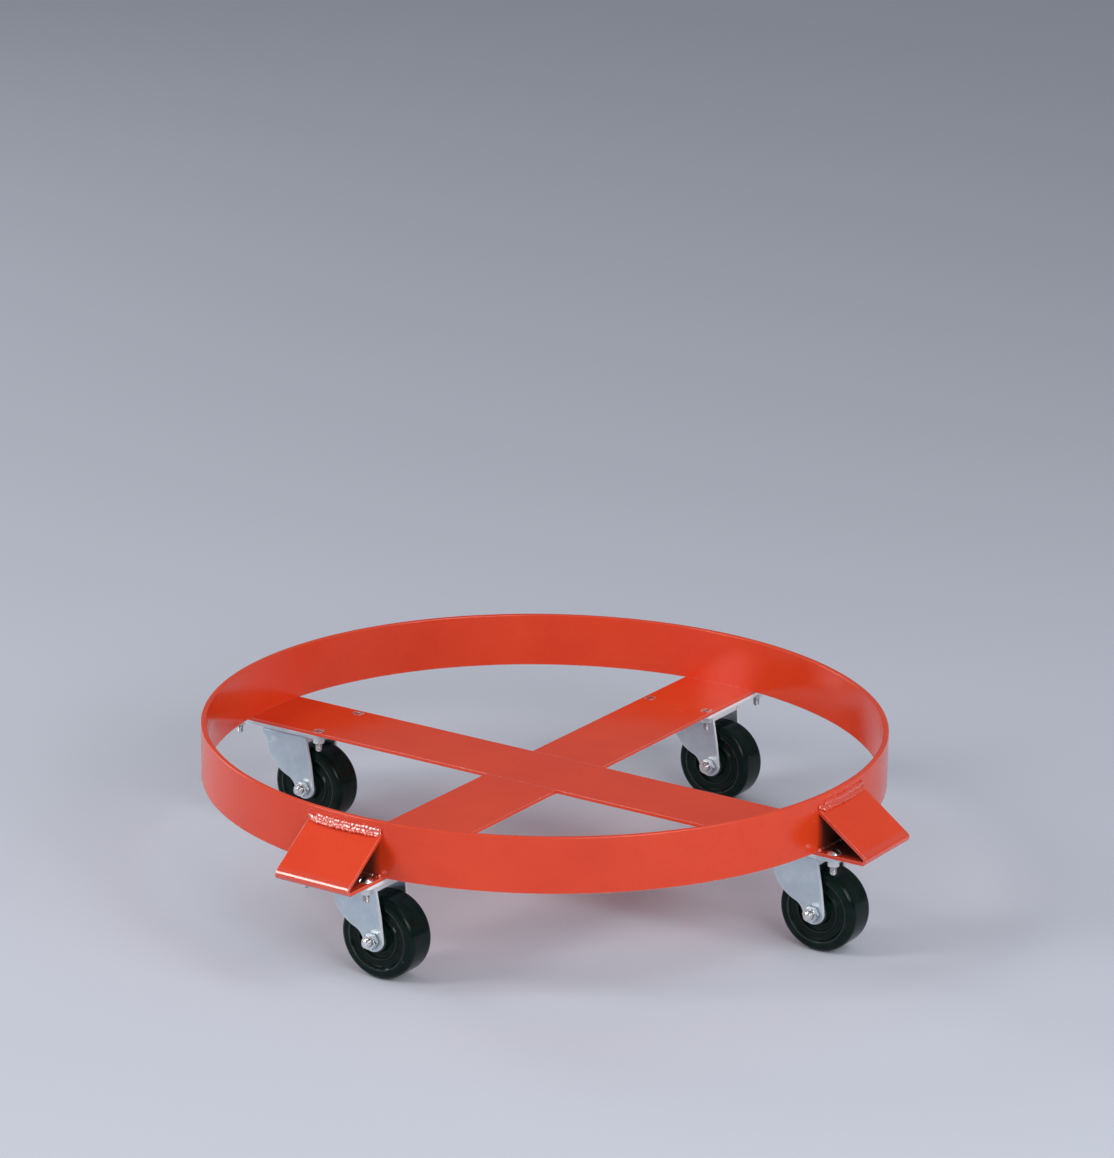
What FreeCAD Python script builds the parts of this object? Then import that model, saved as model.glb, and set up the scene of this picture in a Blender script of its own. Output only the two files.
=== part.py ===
"""Drum trolley: a rolled band on two crossing flat bars, carried by four swivel casters.

Millimetres, +Z up.  The origin is on the floor under the middle of the band.  The long bar runs
along X and the two half bars along Y.  Each bar end is folded back over itself, and the fold rises
as a gusset to the outside of the band.  A caster is bolted under each bar end.
"""

import FreeCAD, Part
import math
import os

V = FreeCAD.Vector
UP = V(0, 0, 1)
ORIGIN = V(0, 0, 0)

# Band: flat steel bar rolled into a hoop
RING_INSIDE_DIAMETER = 616.0
BAND_THICKNESS = 4.8
BAND_HEIGHT = 50.8
BAND_EDGE_ROUND = 1.0
SEAM_WELD_WIDTH = 7.0
SEAM_WELD_HEIGHT = 1.0
SEAM_WELD_ANGLE = 135.0

# Crossing bars with folded ends
BAR_WIDTH = 76.2
BAR_THICKNESS = 3.2
FOLD_REACH = 47.5
FOLD_INSIDE_RADIUS = 1.6
GUSSET_BELOW_TOP = 12.6
GUSSET_WELD_LEG = 6.5
ROOT_WELD_LEG = 4.0
CENTRE_WELD_WIDTH = 8.0
CENTRE_WELD_HEIGHT = 1.6

# Caster place under the bar
CASTER_INSET = 30.0
BAR_ANGLE = {"front": -90.0, "right": 0.0, "back": 90.0, "left": 180.0}

# Caster top plate
PLATE_THICKNESS = 3.2
PLATE_CORNER_RADIUS = 8.0
PLATE_EDGE = 6.35
BOLT_SPACING_RADIAL = 92.1
SLOT_EXTRA_LENGTH = 4.0

# Plate bolts and nuts
BOLT_DIAMETER = 6.0
BOLT_HOLE_CLEARANCE = 0.35
BOLT_PROJECTION = 8.2
BOLT_END_CHAMFER = 0.9
ROUND_HEAD_DIAMETER = 13.0
ROUND_HEAD_HEIGHT = 4.0
FLAT_HEAD_DIAMETER = 11.2
FLAT_HEAD_HALF_ANGLE = 41.0
DRIVER_SLOT_WIDTH = 1.7
DRIVER_SLOT_DEPTH = 1.8
SQUARE_NECK_LENGTH = 2.6
NUT_ACROSS_FLATS = 10.0
NUT_HEIGHT = 5.2

# Swivel bearing, from the wheel's top upwards
SWIVEL_CLEARANCE = 5.8
PIN_DIAMETER = 10.0
PIN_TAIL_HEIGHT = 2.2
PIN_TAIL_DIAMETER = 15.0
PIN_HEAD_DIAMETER = 17.0
PIN_RUNNING_GAP = 0.4
LOWER_RACE_THICKNESS = 3.0
LOWER_RACE_DIAMETER = 26.0
LOWER_RACE_GAP = 1.8
LOWER_BALL_DIAMETER = 4.0
LOWER_BALL_CIRCLE = 19.4
CROWN_THICKNESS = 2.8
UPPER_RACE_GAP = 1.6
UPPER_RACE_DEPTH = 3.4
UPPER_RACE_WIDTH = 12.0
UPPER_BALL_DIAMETER = 5.5
UPPER_BALL_CIRCLE = 38.0
TROUGH_WALL = 2.2
BALL_CLEARANCE = 0.3
BALL_PITCH_FACTOR = 1.22

# Fork, stamped from sheet
TRAIL = 21.0
FORK_SHEET = 2.8
CROWN_FRONT_RADIUS = 34.0
CROWN_REAR = 25.0
CROWN_LIP_DEPTH = 8.0
CROWN_CORNER_ROUND = 3.0
LEG_FRONT_AT_CROWN = 22.0
LEG_NECK_AHEAD = 18.5
LEG_NECK_DROP = 17.2
LEG_WAIST_AHEAD = 18.5
LEG_WAIST_RISE = 8.9
LEG_NECK_HOLLOW = 0.6
LEG_WAIST_BULGE = 4.6
LEG_BOSS_HOLLOW = 1.2
LEG_BOSS_RADIUS = 10.4
CREASE_RISE = 17.8
CREASE_ANGLE = 32.0
LEG_SPREAD_ANGLE = 6.0

# Wheel and axle
WHEEL_DIAMETER = 76.2
WHEEL_WIDTH = 31.8
TREAD_SHOULDER_RADIUS = 5.5
RIM_INNER_DIAMETER = 58.0
RIM_STEP = 2.6
WEB_RECESS = 3.0
RIDGE_DIAMETER = 40.0
RIDGE_WIDTH = 1.6
RIDGE_HEIGHT = 1.2
DISH_RECESS = 4.0
HUB_DIAMETER = 27.0
HUB_PROUD = 2.0
HUB_CLEARANCE = 0.6
BUSH_WALL = 3.0
SLEEVE_WALL = 2.0
SLEEVE_BORE_CLEARANCE = 0.15
RUNNING_CLEARANCE = 0.06
AXLE_DIAMETER = 7.94
AXLE_HOLE_CLEARANCE = 0.2
AXLE_HEX = 12.7
AXLE_HEAD_HEIGHT = 5.3
AXLE_NUT_HEIGHT = 6.8
AXLE_PROJECTION = 5.4

# Sizes that follow from the ones above
RING_INNER_RADIUS = RING_INSIDE_DIAMETER / 2
RING_OUTER_RADIUS = RING_INNER_RADIUS + BAND_THICKNESS
BAR_REACH = RING_OUTER_RADIUS + FOLD_REACH
FOLD_OUTSIDE_RADIUS = FOLD_INSIDE_RADIUS + BAR_THICKNESS
BOLT_SPACING_ACROSS = BAR_WIDTH - 2 * PLATE_EDGE
CASTER_CIRCLE_RADIUS = RING_INNER_RADIUS - CASTER_INSET

AXLE_Z = WHEEL_DIAMETER / 2
PIN_BOTTOM_Z = WHEEL_DIAMETER + SWIVEL_CLEARANCE
LOWER_RACE_BOTTOM_Z = PIN_BOTTOM_Z + PIN_TAIL_HEIGHT
LOWER_RACE_TOP_Z = LOWER_RACE_BOTTOM_Z + LOWER_RACE_THICKNESS
CROWN_BOTTOM_Z = LOWER_RACE_TOP_Z + LOWER_RACE_GAP
CROWN_TOP_Z = CROWN_BOTTOM_Z + CROWN_THICKNESS
UPPER_RACE_BOTTOM_Z = CROWN_TOP_Z + UPPER_RACE_GAP
PLATE_BOTTOM_Z = UPPER_RACE_BOTTOM_Z + UPPER_RACE_DEPTH
PLATE_TOP_Z = PLATE_BOTTOM_Z + PLATE_THICKNESS
BAR_BOTTOM_Z = PLATE_TOP_Z
BAR_TOP_Z = BAR_BOTTOM_Z + BAR_THICKNESS
BAND_TOP_Z = BAR_TOP_Z + BAND_HEIGHT
LOWER_BALL_Z = (LOWER_RACE_TOP_Z + CROWN_BOTTOM_Z) / 2
UPPER_BALL_Z = (CROWN_TOP_Z + UPPER_RACE_BOTTOM_Z) / 2
GUSSET_TOP_Z = BAND_TOP_Z - GUSSET_BELOW_TOP
NUT_BOTTOM_Z = PLATE_BOTTOM_Z - NUT_HEIGHT
BOLT_TIP_Z = NUT_BOTTOM_Z - BOLT_PROJECTION

HUB_HALF_LENGTH = WHEEL_WIDTH / 2 + HUB_PROUD
LEG_INSIDE = HUB_HALF_LENGTH + HUB_CLEARANCE
LEG_OUTSIDE = LEG_INSIDE + FORK_SHEET
SLEEVE_BORE_RADIUS = AXLE_DIAMETER / 2 + SLEEVE_BORE_CLEARANCE
SLEEVE_RADIUS = SLEEVE_BORE_RADIUS + SLEEVE_WALL
BUSH_BORE_RADIUS = SLEEVE_RADIUS + RUNNING_CLEARANCE
BUSH_RADIUS = BUSH_BORE_RADIUS + BUSH_WALL
ROOM = 4 * (BAND_TOP_Z + BAR_WIDTH)


def revolve(points, axis=UP, angle=360.0):
    """Solid of revolution of a closed outline of straight sides."""
    wire = Part.makePolygon(list(points) + [points[0]])
    return Part.Face(wire).revolve(ORIGIN, axis, angle)


def disc(radius, bottom, top, centre=ORIGIN):
    """Upright cylinder between two heights."""
    return Part.makeCylinder(radius, top - bottom, V(centre.x, centre.y, bottom))


def washer(inner, outer, bottom, top):
    """Upright ring of rectangular section."""
    return disc(outer, bottom, top).cut(disc(inner, bottom, top))


def hexagon(across_flats, bottom, top):
    """Upright hexagonal prism with the corners of both ends turned off at 30 degrees."""
    flat, corner = across_flats / 2, across_flats / math.sqrt(3)
    turns = [math.radians(60 * i) for i in range(7)]
    corners = [V(corner * math.cos(turn), corner * math.sin(turn), bottom) for turn in turns]
    prism = Part.Face(Part.makePolygon(corners)).extrude(V(0, 0, top - bottom))
    drop = (corner - flat) * math.tan(math.radians(30))
    envelope = revolve([V(0, 0, bottom), V(flat, 0, bottom), V(corner, 0, bottom + drop),
                        V(corner, 0, top - drop), V(flat, 0, top), V(0, 0, top)])
    return prism.common(envelope)


def ball_ring(ball_diameter, circle_diameter, height):
    """Ring of loose bearing balls, as many as fit with a little space between them."""
    count = int(math.pi * circle_diameter / (ball_diameter * BALL_PITCH_FACTOR))
    balls = []
    for i in range(count):
        turn = 2 * math.pi * i / count
        centre = V(circle_diameter / 2 * math.cos(turn), circle_diameter / 2 * math.sin(turn), height)
        balls.append(Part.makeSphere(ball_diameter / 2, centre))
    return Part.makeCompound(balls)


def groove(ball_diameter, circle_diameter, height):
    """The ring-shaped track that a ball ring needs, cut from both races."""
    return Part.makeTorus(circle_diameter / 2, ball_diameter / 2 + BALL_CLEARANCE, V(0, 0, height), UP)


def turned(shape, angle, centre=ORIGIN, axis=UP):
    """Copy of a shape turned about an axis."""
    copy = shape.copy()
    copy.rotate(centre, axis, angle)
    return copy


# Band


def make_band():
    """Rolled hoop with its top edges eased."""
    hoop = washer(RING_INNER_RADIUS, RING_OUTER_RADIUS, BAR_TOP_Z, BAND_TOP_Z)
    top_edges = [edge for edge in hoop.Edges if edge.BoundBox.ZMin > BAND_TOP_Z - 1e-6]
    return hoop.makeFillet(BAND_EDGE_ROUND, top_edges)


def make_seam_weld():
    """Dressed bead over the joint that closes the hoop, on the outside of the band."""
    length = BAND_HEIGHT - 2 * BAND_EDGE_ROUND
    crown = (SEAM_WELD_HEIGHT ** 2 + (SEAM_WELD_WIDTH / 2) ** 2) / (2 * SEAM_WELD_HEIGHT)
    centre = V(RING_OUTER_RADIUS + SEAM_WELD_HEIGHT - crown, 0, BAR_TOP_Z + BAND_EDGE_ROUND)
    bead = Part.makeCylinder(crown, length, centre).cut(disc(RING_OUTER_RADIUS, BAR_TOP_Z, BAND_TOP_Z))
    return turned(bead, SEAM_WELD_ANGLE)


# Crossing bars


def fold_centre():
    """Middle of the fold's two arcs on the +X arm."""
    return V(BAR_REACH - FOLD_OUTSIDE_RADIUS, 0, BAR_TOP_Z + FOLD_INSIDE_RADIUS)


def gusset_slope():
    """Angle at which a gusset rises from its fold so that its top meets the band where it should."""
    centre = fold_centre()
    out, up = centre.x - RING_OUTER_RADIUS, GUSSET_TOP_Z - centre.z
    return math.acos(FOLD_OUTSIDE_RADIUS / math.hypot(out, up)) - math.atan2(out, up)


def bar_profile(start):
    """Section of one bar arm along its length: flat, folded at the end, and rising as the gusset."""
    angle = gusset_slope()
    inner, outer = FOLD_INSIDE_RADIUS, FOLD_OUTSIDE_RADIUS
    centre = fold_centre()
    rise = V(-math.cos(angle), 0, math.sin(angle))
    normal = V(math.sin(angle), 0, math.cos(angle))
    run = (centre.x + outer * math.sin(angle) - RING_INNER_RADIUS) / math.cos(angle)
    outside = [centre + V(0, 0, -outer), centre + V(outer, 0, 0), centre + normal * outer]
    inside = [centre + normal * inner, centre + V(inner, 0, 0), centre + V(0, 0, -inner)]
    edges = [
        Part.LineSegment(V(start, 0, BAR_BOTTOM_Z), outside[0]),
        Part.Arc(*outside),
        Part.LineSegment(outside[2], outside[2] + rise * run),
        Part.LineSegment(outside[2] + rise * run, inside[0] + rise * run),
        Part.LineSegment(inside[0] + rise * run, inside[0]),
        Part.Arc(*inside),
        Part.LineSegment(inside[2], V(start, 0, BAR_TOP_Z)),
        Part.LineSegment(V(start, 0, BAR_TOP_Z), V(start, 0, BAR_BOTTOM_Z)),
    ]
    return Part.Face(Part.Wire([edge.toShape() for edge in edges]))


def bolt_places():
    """The four plate bolts of a caster on the +X arm, each with whether it is outside the band."""
    across = BOLT_SPACING_ACROSS / 2
    radial = BOLT_SPACING_RADIAL / 2
    return [(V(CASTER_CIRCLE_RADIUS + side * radial, other * across, 0), side > 0)
            for side in (1, -1) for other in (1, -1)]


def flat_head(centre, clearance):
    """Countersunk head whose top is flush with the bar."""
    head = FLAT_HEAD_DIAMETER / 2 + clearance
    shank = BOLT_DIAMETER / 2 + clearance
    depth = (head - shank) / math.tan(math.radians(FLAT_HEAD_HALF_ANGLE))
    return Part.makeCone(shank, head, depth, V(centre.x, centre.y, BAR_TOP_Z - depth))


def square_neck(centre, clearance):
    """Square under a round bolt head, which stops the bolt turning in the bar."""
    side = BOLT_DIAMETER + 2 * clearance
    corner = V(centre.x - side / 2, centre.y - side / 2, BAR_TOP_Z - SQUARE_NECK_LENGTH - clearance)
    return Part.makeBox(side, side, SQUARE_NECK_LENGTH + clearance, corner)


def make_arm(start):
    """One bar arm along +X from the given distance out, coped to the band and drilled for its caster."""
    arm = bar_profile(start).extrude(V(0, BAR_WIDTH, 0))
    arm.translate(V(0, -BAR_WIDTH / 2, 0))
    arm = arm.cut(disc(RING_OUTER_RADIUS, BAR_TOP_Z, BAND_TOP_Z + ROOM))
    hole = BOLT_DIAMETER / 2 + BOLT_HOLE_CLEARANCE
    for place, outside in bolt_places():
        arm = arm.cut(disc(hole, BAR_BOTTOM_Z, BAR_TOP_Z, place))
        if outside:
            arm = arm.cut(square_neck(place, BOLT_HOLE_CLEARANCE))
        else:
            arm = arm.cut(flat_head(place, BOLT_HOLE_CLEARANCE))
    return arm


def make_long_bar():
    """The unbroken bar: two arms in one piece."""
    arm = make_arm(0)
    return arm.fuse(turned(arm, 180)).removeSplitter()


def make_gusset_weld():
    """Fillet bead between the band and the top of a gusset on the +X arm."""
    angle = gusset_slope()
    half = math.degrees(math.asin(BAR_WIDTH / 2 / RING_OUTER_RADIUS))
    corner = V(RING_OUTER_RADIUS, 0, GUSSET_TOP_Z)
    root = corner - V(0, 0, GUSSET_WELD_LEG)
    crest = corner + V(0, 0, GUSSET_WELD_LEG)
    toe = corner + V(math.cos(angle), 0, -math.sin(angle)) * GUSSET_WELD_LEG
    belly = (crest + toe) * 0.5 + V(1, 0, 1) * (GUSSET_WELD_LEG / 5)
    edges = [Part.LineSegment(root, toe), Part.Arc(toe, belly, crest), Part.LineSegment(crest, root)]
    face = Part.Face(Part.Wire([edge.toShape() for edge in edges]))
    bead = turned(face.revolve(ORIGIN, UP, 2 * half), -half)
    return bead.cut(make_arm(CASTER_CIRCLE_RADIUS))


def make_root_weld():
    """Small fillet bead between the outside of the band and the top of the bar on the +X arm."""
    half = math.degrees(math.asin(BAR_WIDTH / 2 / (RING_OUTER_RADIUS + ROOT_WELD_LEG)))
    bead = revolve([V(RING_OUTER_RADIUS, 0, BAR_TOP_Z), V(RING_OUTER_RADIUS + ROOT_WELD_LEG, 0, BAR_TOP_Z),
                    V(RING_OUTER_RADIUS, 0, BAR_TOP_Z + ROOT_WELD_LEG)], UP, 2 * half)
    return turned(bead, -half)


def make_centre_weld():
    """Low bead under the butt joint between the long bar and a half bar, on the +Y side."""
    crown = (CENTRE_WELD_HEIGHT ** 2 + (CENTRE_WELD_WIDTH / 2) ** 2) / (2 * CENTRE_WELD_HEIGHT)
    start = V(-BAR_WIDTH / 2, BAR_WIDTH / 2, BAR_BOTTOM_Z - CENTRE_WELD_HEIGHT + crown)
    bead = Part.makeCylinder(crown, BAR_WIDTH, start, V(1, 0, 0))
    above = Part.makeBox(ROOM, ROOM, ROOM, V(-ROOM / 2, -ROOM / 2, BAR_BOTTOM_Z))
    return bead.cut(above)


# Caster, modelled with its swivel axis on Z and trailing along +X


def make_top_plate():
    """Mounting plate with slotted bolt holes and the upper ball race drawn under it."""
    length = BOLT_SPACING_RADIAL + SLOT_EXTRA_LENGTH + 2 * PLATE_EDGE
    width = BOLT_SPACING_ACROSS + 2 * PLATE_EDGE
    plate = Part.makeBox(length, width, PLATE_THICKNESS, V(-length / 2, -width / 2, PLATE_BOTTOM_Z))
    corners = [edge for edge in plate.Edges if abs(edge.BoundBox.ZLength - PLATE_THICKNESS) < 1e-6]
    plate = plate.makeFillet(PLATE_CORNER_RADIUS, corners)
    race_radius = UPPER_BALL_CIRCLE / 2
    race = washer(race_radius - UPPER_RACE_WIDTH / 2, race_radius + UPPER_RACE_WIDTH / 2,
                  UPPER_RACE_BOTTOM_Z, PLATE_BOTTOM_Z)
    plate = plate.fuse(race).cut(groove(UPPER_BALL_DIAMETER, UPPER_BALL_CIRCLE, UPPER_BALL_Z))
    radius = BOLT_DIAMETER / 2 + BOLT_HOLE_CLEARANCE
    for place, _ in bolt_places():
        x, y = place.x - CASTER_CIRCLE_RADIUS, place.y
        for end in (-1, 1):
            centre = V(x + end * SLOT_EXTRA_LENGTH / 2, y, 0)
            plate = plate.cut(disc(radius, PLATE_BOTTOM_Z, PLATE_TOP_Z, centre))
        slot = Part.makeBox(SLOT_EXTRA_LENGTH, 2 * radius, PLATE_THICKNESS,
                            V(x - SLOT_EXTRA_LENGTH / 2, y - radius, PLATE_BOTTOM_Z))
        plate = plate.cut(slot)
    head = PIN_HEAD_DIAMETER / 2
    seat = Part.makeCone(PIN_DIAMETER / 2, head, PLATE_THICKNESS, V(0, 0, PLATE_BOTTOM_Z))
    return plate.cut(seat).removeSplitter()


def make_king_pin():
    """Rivet that holds the fork to the plate: countersunk head, shank and spread tail."""
    radius = PIN_DIAMETER / 2
    head = Part.makeCone(radius, PIN_HEAD_DIAMETER / 2, PLATE_THICKNESS, V(0, 0, PLATE_BOTTOM_Z))
    shank = disc(radius, PIN_BOTTOM_Z, PLATE_BOTTOM_Z)
    tail = disc(PIN_TAIL_DIAMETER / 2, PIN_BOTTOM_Z, LOWER_RACE_BOTTOM_Z)
    rim = [edge for edge in tail.Edges if edge.BoundBox.ZMax < PIN_BOTTOM_Z + 1e-6]
    tail = tail.makeFillet(PIN_TAIL_HEIGHT / 2, rim)
    return head.fuse([shank, tail]).removeSplitter()


def make_lower_race():
    """Cup on the king pin that carries the lower balls."""
    cup = washer(PIN_DIAMETER / 2, LOWER_RACE_DIAMETER / 2, LOWER_RACE_BOTTOM_Z, LOWER_RACE_TOP_Z)
    return cup.cut(groove(LOWER_BALL_DIAMETER, LOWER_BALL_CIRCLE, LOWER_BALL_Z))


def bowed(start, end, bow):
    """Arc in a side view whose middle stands off the chord, to the left of the way it runs."""
    chord = end - start
    side = V(-chord.z, 0, chord.x).normalize()
    return Part.Arc(start, (start + end) * 0.5 + side * bow, end)


def leg_outline():
    """Side view of a fork leg: hollow neck under the crown, full waist and a round axle boss."""
    boss = V(TRAIL, 0, AXLE_Z)
    top_z = CROWN_TOP_Z - CROWN_CORNER_ROUND
    front_top = V(-LEG_FRONT_AT_CROWN, 0, top_z)
    rear_top = V(CROWN_REAR, 0, top_z)
    neck = V(-LEG_NECK_AHEAD, 0, CROWN_TOP_Z - LEG_NECK_DROP)
    waist = V(TRAIL - LEG_WAIST_AHEAD, 0, AXLE_Z + LEG_WAIST_RISE)
    boss_front = boss + V(-LEG_BOSS_RADIUS, 0, 0)
    boss_low = boss + V(0, 0, -LEG_BOSS_RADIUS)
    boss_rear = boss + V(LEG_BOSS_RADIUS, 0, 0)
    edges = [
        bowed(front_top, neck, LEG_NECK_HOLLOW),
        bowed(neck, waist, -LEG_WAIST_BULGE),
        bowed(waist, boss_front, LEG_BOSS_HOLLOW),
        Part.Arc(boss_front, boss_low, boss_rear),
        Part.LineSegment(boss_rear, rear_top),
        Part.LineSegment(rear_top, front_top),
    ]
    return Part.Face(Part.Wire([edge.toShape() for edge in edges]))


def crease_frame():
    """A point on the leg's crease and the crease's direction, on the leg's inner face."""
    point = V(TRAIL, LEG_INSIDE, AXLE_Z + CREASE_RISE)
    slope = math.radians(CREASE_ANGLE)
    return point, V(math.cos(slope), 0, math.sin(slope))


def crease_box(low, high, depth, thickness):
    """Box on the +Y side that runs along the crease, between two heights square to it."""
    point, _ = crease_frame()
    box = Part.makeBox(2 * ROOM, thickness, high - low, V(-ROOM, depth, low))
    box.rotate(ORIGIN, V(0, 1, 0), -CREASE_ANGLE)
    box.translate(V(point.x, 0, point.z))
    return box


def spread(shape):
    """Tilts what lies above the crease outwards about the crease."""
    point, along = crease_frame()
    return turned(shape, -LEG_SPREAD_ANGLE, point, along)


def beyond_legs(depth):
    """Everything outside both spread legs, from the given distance off the middle of the fork."""
    side = spread(crease_box(0, ROOM, depth, ROOM))
    return [side, side.mirror(ORIGIN, V(0, 1, 0))]


def make_leg():
    """Leg on the +Y side: upright at the axle, and spread outwards above the crease."""
    sheet = leg_outline().extrude(V(0, FORK_SHEET, 0))
    sheet.translate(V(0, LEG_INSIDE, 0))
    lower = sheet.common(crease_box(-ROOM, 0, LEG_INSIDE, FORK_SHEET))
    upper = spread(sheet.common(crease_box(0, ROOM, LEG_INSIDE, FORK_SHEET)))
    hole = Part.makeCylinder(AXLE_DIAMETER / 2 + AXLE_HOLE_CLEARANCE, ROOM, V(TRAIL, 0, AXLE_Z), V(0, 1, 0))
    return lower.fuse(upper).cut(hole).removeSplitter()


def crown_block(inset, bottom, top):
    """Crown outline between two heights, drawn in by an inset: round in front, straight behind."""
    radius = CROWN_FRONT_RADIUS - inset
    rear = CROWN_REAR - inset
    half_round = disc(radius, bottom, top).common(Part.makeBox(radius + rear, 2 * radius, top - bottom,
                                                               V(-radius, -radius, bottom)))
    square = Part.makeBox(rear, 2 * radius, top - bottom, V(0, -radius, bottom))
    return half_round.fuse(square).removeSplitter()


def make_crown():
    """Crown with rounded bends, a turned-down lip, and the trough of the upper balls pressed into it."""
    lip_z = CROWN_TOP_Z - CROWN_LIP_DEPTH
    crown = crown_block(0, lip_z, CROWN_TOP_Z).cut(beyond_legs(LEG_OUTSIDE))
    rim = [edge for edge in crown.Edges if edge.BoundBox.ZMin > CROWN_TOP_Z - 1e-6]
    crown = crown.makeFillet(CROWN_CORNER_ROUND, rim)
    pocket = crown_block(FORK_SHEET, lip_z, CROWN_BOTTOM_Z).cut(beyond_legs(LEG_INSIDE))
    trough_radius = UPPER_BALL_DIAMETER / 2 + BALL_CLEARANCE + TROUGH_WALL
    trough = Part.makeTorus(UPPER_BALL_CIRCLE / 2, trough_radius, V(0, 0, UPPER_BALL_Z), UP)
    trough = trough.cut(disc(ROOM, CROWN_BOTTOM_Z, UPPER_BALL_Z + ROOM)).cut(beyond_legs(LEG_OUTSIDE))
    return crown.cut(pocket).fuse(trough)


def make_fork():
    """Crown and both legs as one stamping, with its ball tracks and pin hole."""
    leg = make_leg()
    fork = make_crown().fuse([leg, leg.mirror(ORIGIN, V(0, 1, 0))])
    fork = fork.cut([groove(UPPER_BALL_DIAMETER, UPPER_BALL_CIRCLE, UPPER_BALL_Z),
                     groove(LOWER_BALL_DIAMETER, LOWER_BALL_CIRCLE, LOWER_BALL_Z),
                     disc(PIN_DIAMETER / 2 + PIN_RUNNING_GAP, PIN_BOTTOM_Z, CROWN_TOP_Z)])
    return fork.removeSplitter()


def on_axle(shape):
    """Moves a shape that was made about Z, at zero height, onto the axle, with +Z turned to -Y."""
    shape.rotate(ORIGIN, V(1, 0, 0), 90)
    shape.translate(V(TRAIL, 0, AXLE_Z))
    return shape


def wheel_face(sign):
    """Points of one wheel face from the hub out to the tread, with a ridge round the web."""
    radius, half = WHEEL_DIAMETER / 2, WHEEL_WIDTH / 2
    rim, hub, ridge = RIM_INNER_DIAMETER / 2, HUB_DIAMETER / 2, RIDGE_DIAMETER / 2
    web, dish = half - WEB_RECESS, half - DISH_RECESS
    crest = web + RIDGE_HEIGHT
    profile = [
        (BUSH_RADIUS, HUB_HALF_LENGTH),
        (hub - HUB_PROUD, HUB_HALF_LENGTH),
        (hub, dish),
        (ridge - RIDGE_WIDTH, dish),
        (ridge - RIDGE_WIDTH / 2, crest),
        (ridge + RIDGE_WIDTH / 2, crest),
        (ridge + RIDGE_WIDTH, web),
        (rim - RIM_STEP, web),
        (rim, half),
        (radius - TREAD_SHOULDER_RADIUS, half),
    ]
    return [V(r, 0, sign * y) for r, y in profile]


def make_wheel():
    """Solid wheel: rounded tread, stepped rim, ridged web and a hub that stands proud."""
    radius, half = WHEEL_DIAMETER / 2, WHEEL_WIDTH / 2
    flat = half - TREAD_SHOULDER_RADIUS
    bend = TREAD_SHOULDER_RADIUS * (1 - math.sqrt(0.5))
    near, far = wheel_face(1), wheel_face(-1)
    edges = [Part.LineSegment(a, b) for face in (near, far) for a, b in zip(face, face[1:])]
    for face, sign in ((near, 1), (far, -1)):
        shoulder = V(radius - bend, 0, sign * (half - bend))
        edges.append(Part.Arc(face[-1], shoulder, V(radius, 0, sign * flat)))
    edges.append(Part.LineSegment(V(radius, 0, flat), V(radius, 0, -flat)))
    edges.append(Part.LineSegment(far[0], near[0]))
    outline = Part.Wire(Part.sortEdges([edge.toShape() for edge in edges])[0])
    return on_axle(Part.Face(outline).revolve(ORIGIN, UP, 360))


def make_bush():
    """Plain bush pressed into the hub."""
    return on_axle(washer(BUSH_BORE_RADIUS, BUSH_RADIUS, -HUB_HALF_LENGTH, HUB_HALF_LENGTH))


def make_sleeve():
    """Spacer tube clamped between the legs, on which the bush runs."""
    return on_axle(washer(SLEEVE_BORE_RADIUS, SLEEVE_RADIUS, -LEG_INSIDE, LEG_INSIDE))


def make_axle_bolt():
    """Hex bolt through both legs, head on the +Y side."""
    tip = LEG_OUTSIDE + AXLE_NUT_HEIGHT + AXLE_PROJECTION
    head = hexagon(AXLE_HEX, -LEG_OUTSIDE - AXLE_HEAD_HEIGHT, -LEG_OUTSIDE)
    shank = disc(AXLE_DIAMETER / 2, -LEG_OUTSIDE, tip)
    end = [edge for edge in shank.Edges if edge.BoundBox.ZMin > tip - 1e-6]
    shank = shank.makeChamfer(BOLT_END_CHAMFER, end)
    return on_axle(head.fuse(shank).removeSplitter())


def make_axle_nut():
    """Hex nut on the -Y end of the axle bolt."""
    nut = hexagon(AXLE_HEX, LEG_OUTSIDE, LEG_OUTSIDE + AXLE_NUT_HEIGHT)
    return on_axle(nut.cut(disc(AXLE_DIAMETER / 2, LEG_OUTSIDE, LEG_OUTSIDE + AXLE_NUT_HEIGHT)))


# Plate bolts and nuts, modelled on the +X arm


def make_plate_bolt(place, outside):
    """Round-headed bolt outside the band, or a flush slotted one inside it, where the load stands."""
    shank = disc(BOLT_DIAMETER / 2, BOLT_TIP_Z, BAR_TOP_Z, place)
    tip = [edge for edge in shank.Edges if edge.BoundBox.ZMax < BOLT_TIP_Z + 1e-6]
    shank = shank.makeChamfer(BOLT_END_CHAMFER, tip)
    if not outside:
        slot = Part.makeBox(2 * FLAT_HEAD_DIAMETER, DRIVER_SLOT_WIDTH, DRIVER_SLOT_DEPTH,
                            V(place.x - FLAT_HEAD_DIAMETER, place.y - DRIVER_SLOT_WIDTH / 2,
                              BAR_TOP_Z - DRIVER_SLOT_DEPTH))
        return shank.fuse(flat_head(place, 0)).cut(slot).removeSplitter()
    dome = (ROUND_HEAD_HEIGHT ** 2 + (ROUND_HEAD_DIAMETER / 2) ** 2) / (2 * ROUND_HEAD_HEIGHT)
    head = Part.makeSphere(dome, V(place.x, place.y, BAR_TOP_Z + ROUND_HEAD_HEIGHT - dome))
    head = head.common(disc(ROUND_HEAD_DIAMETER, BAR_TOP_Z, BAR_TOP_Z + ROUND_HEAD_HEIGHT, place))
    return shank.fuse([head, square_neck(place, 0)]).removeSplitter()


def make_plate_bolts():
    """The four bolts of one caster."""
    return Part.makeCompound([make_plate_bolt(place, outside) for place, outside in bolt_places()])


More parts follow.
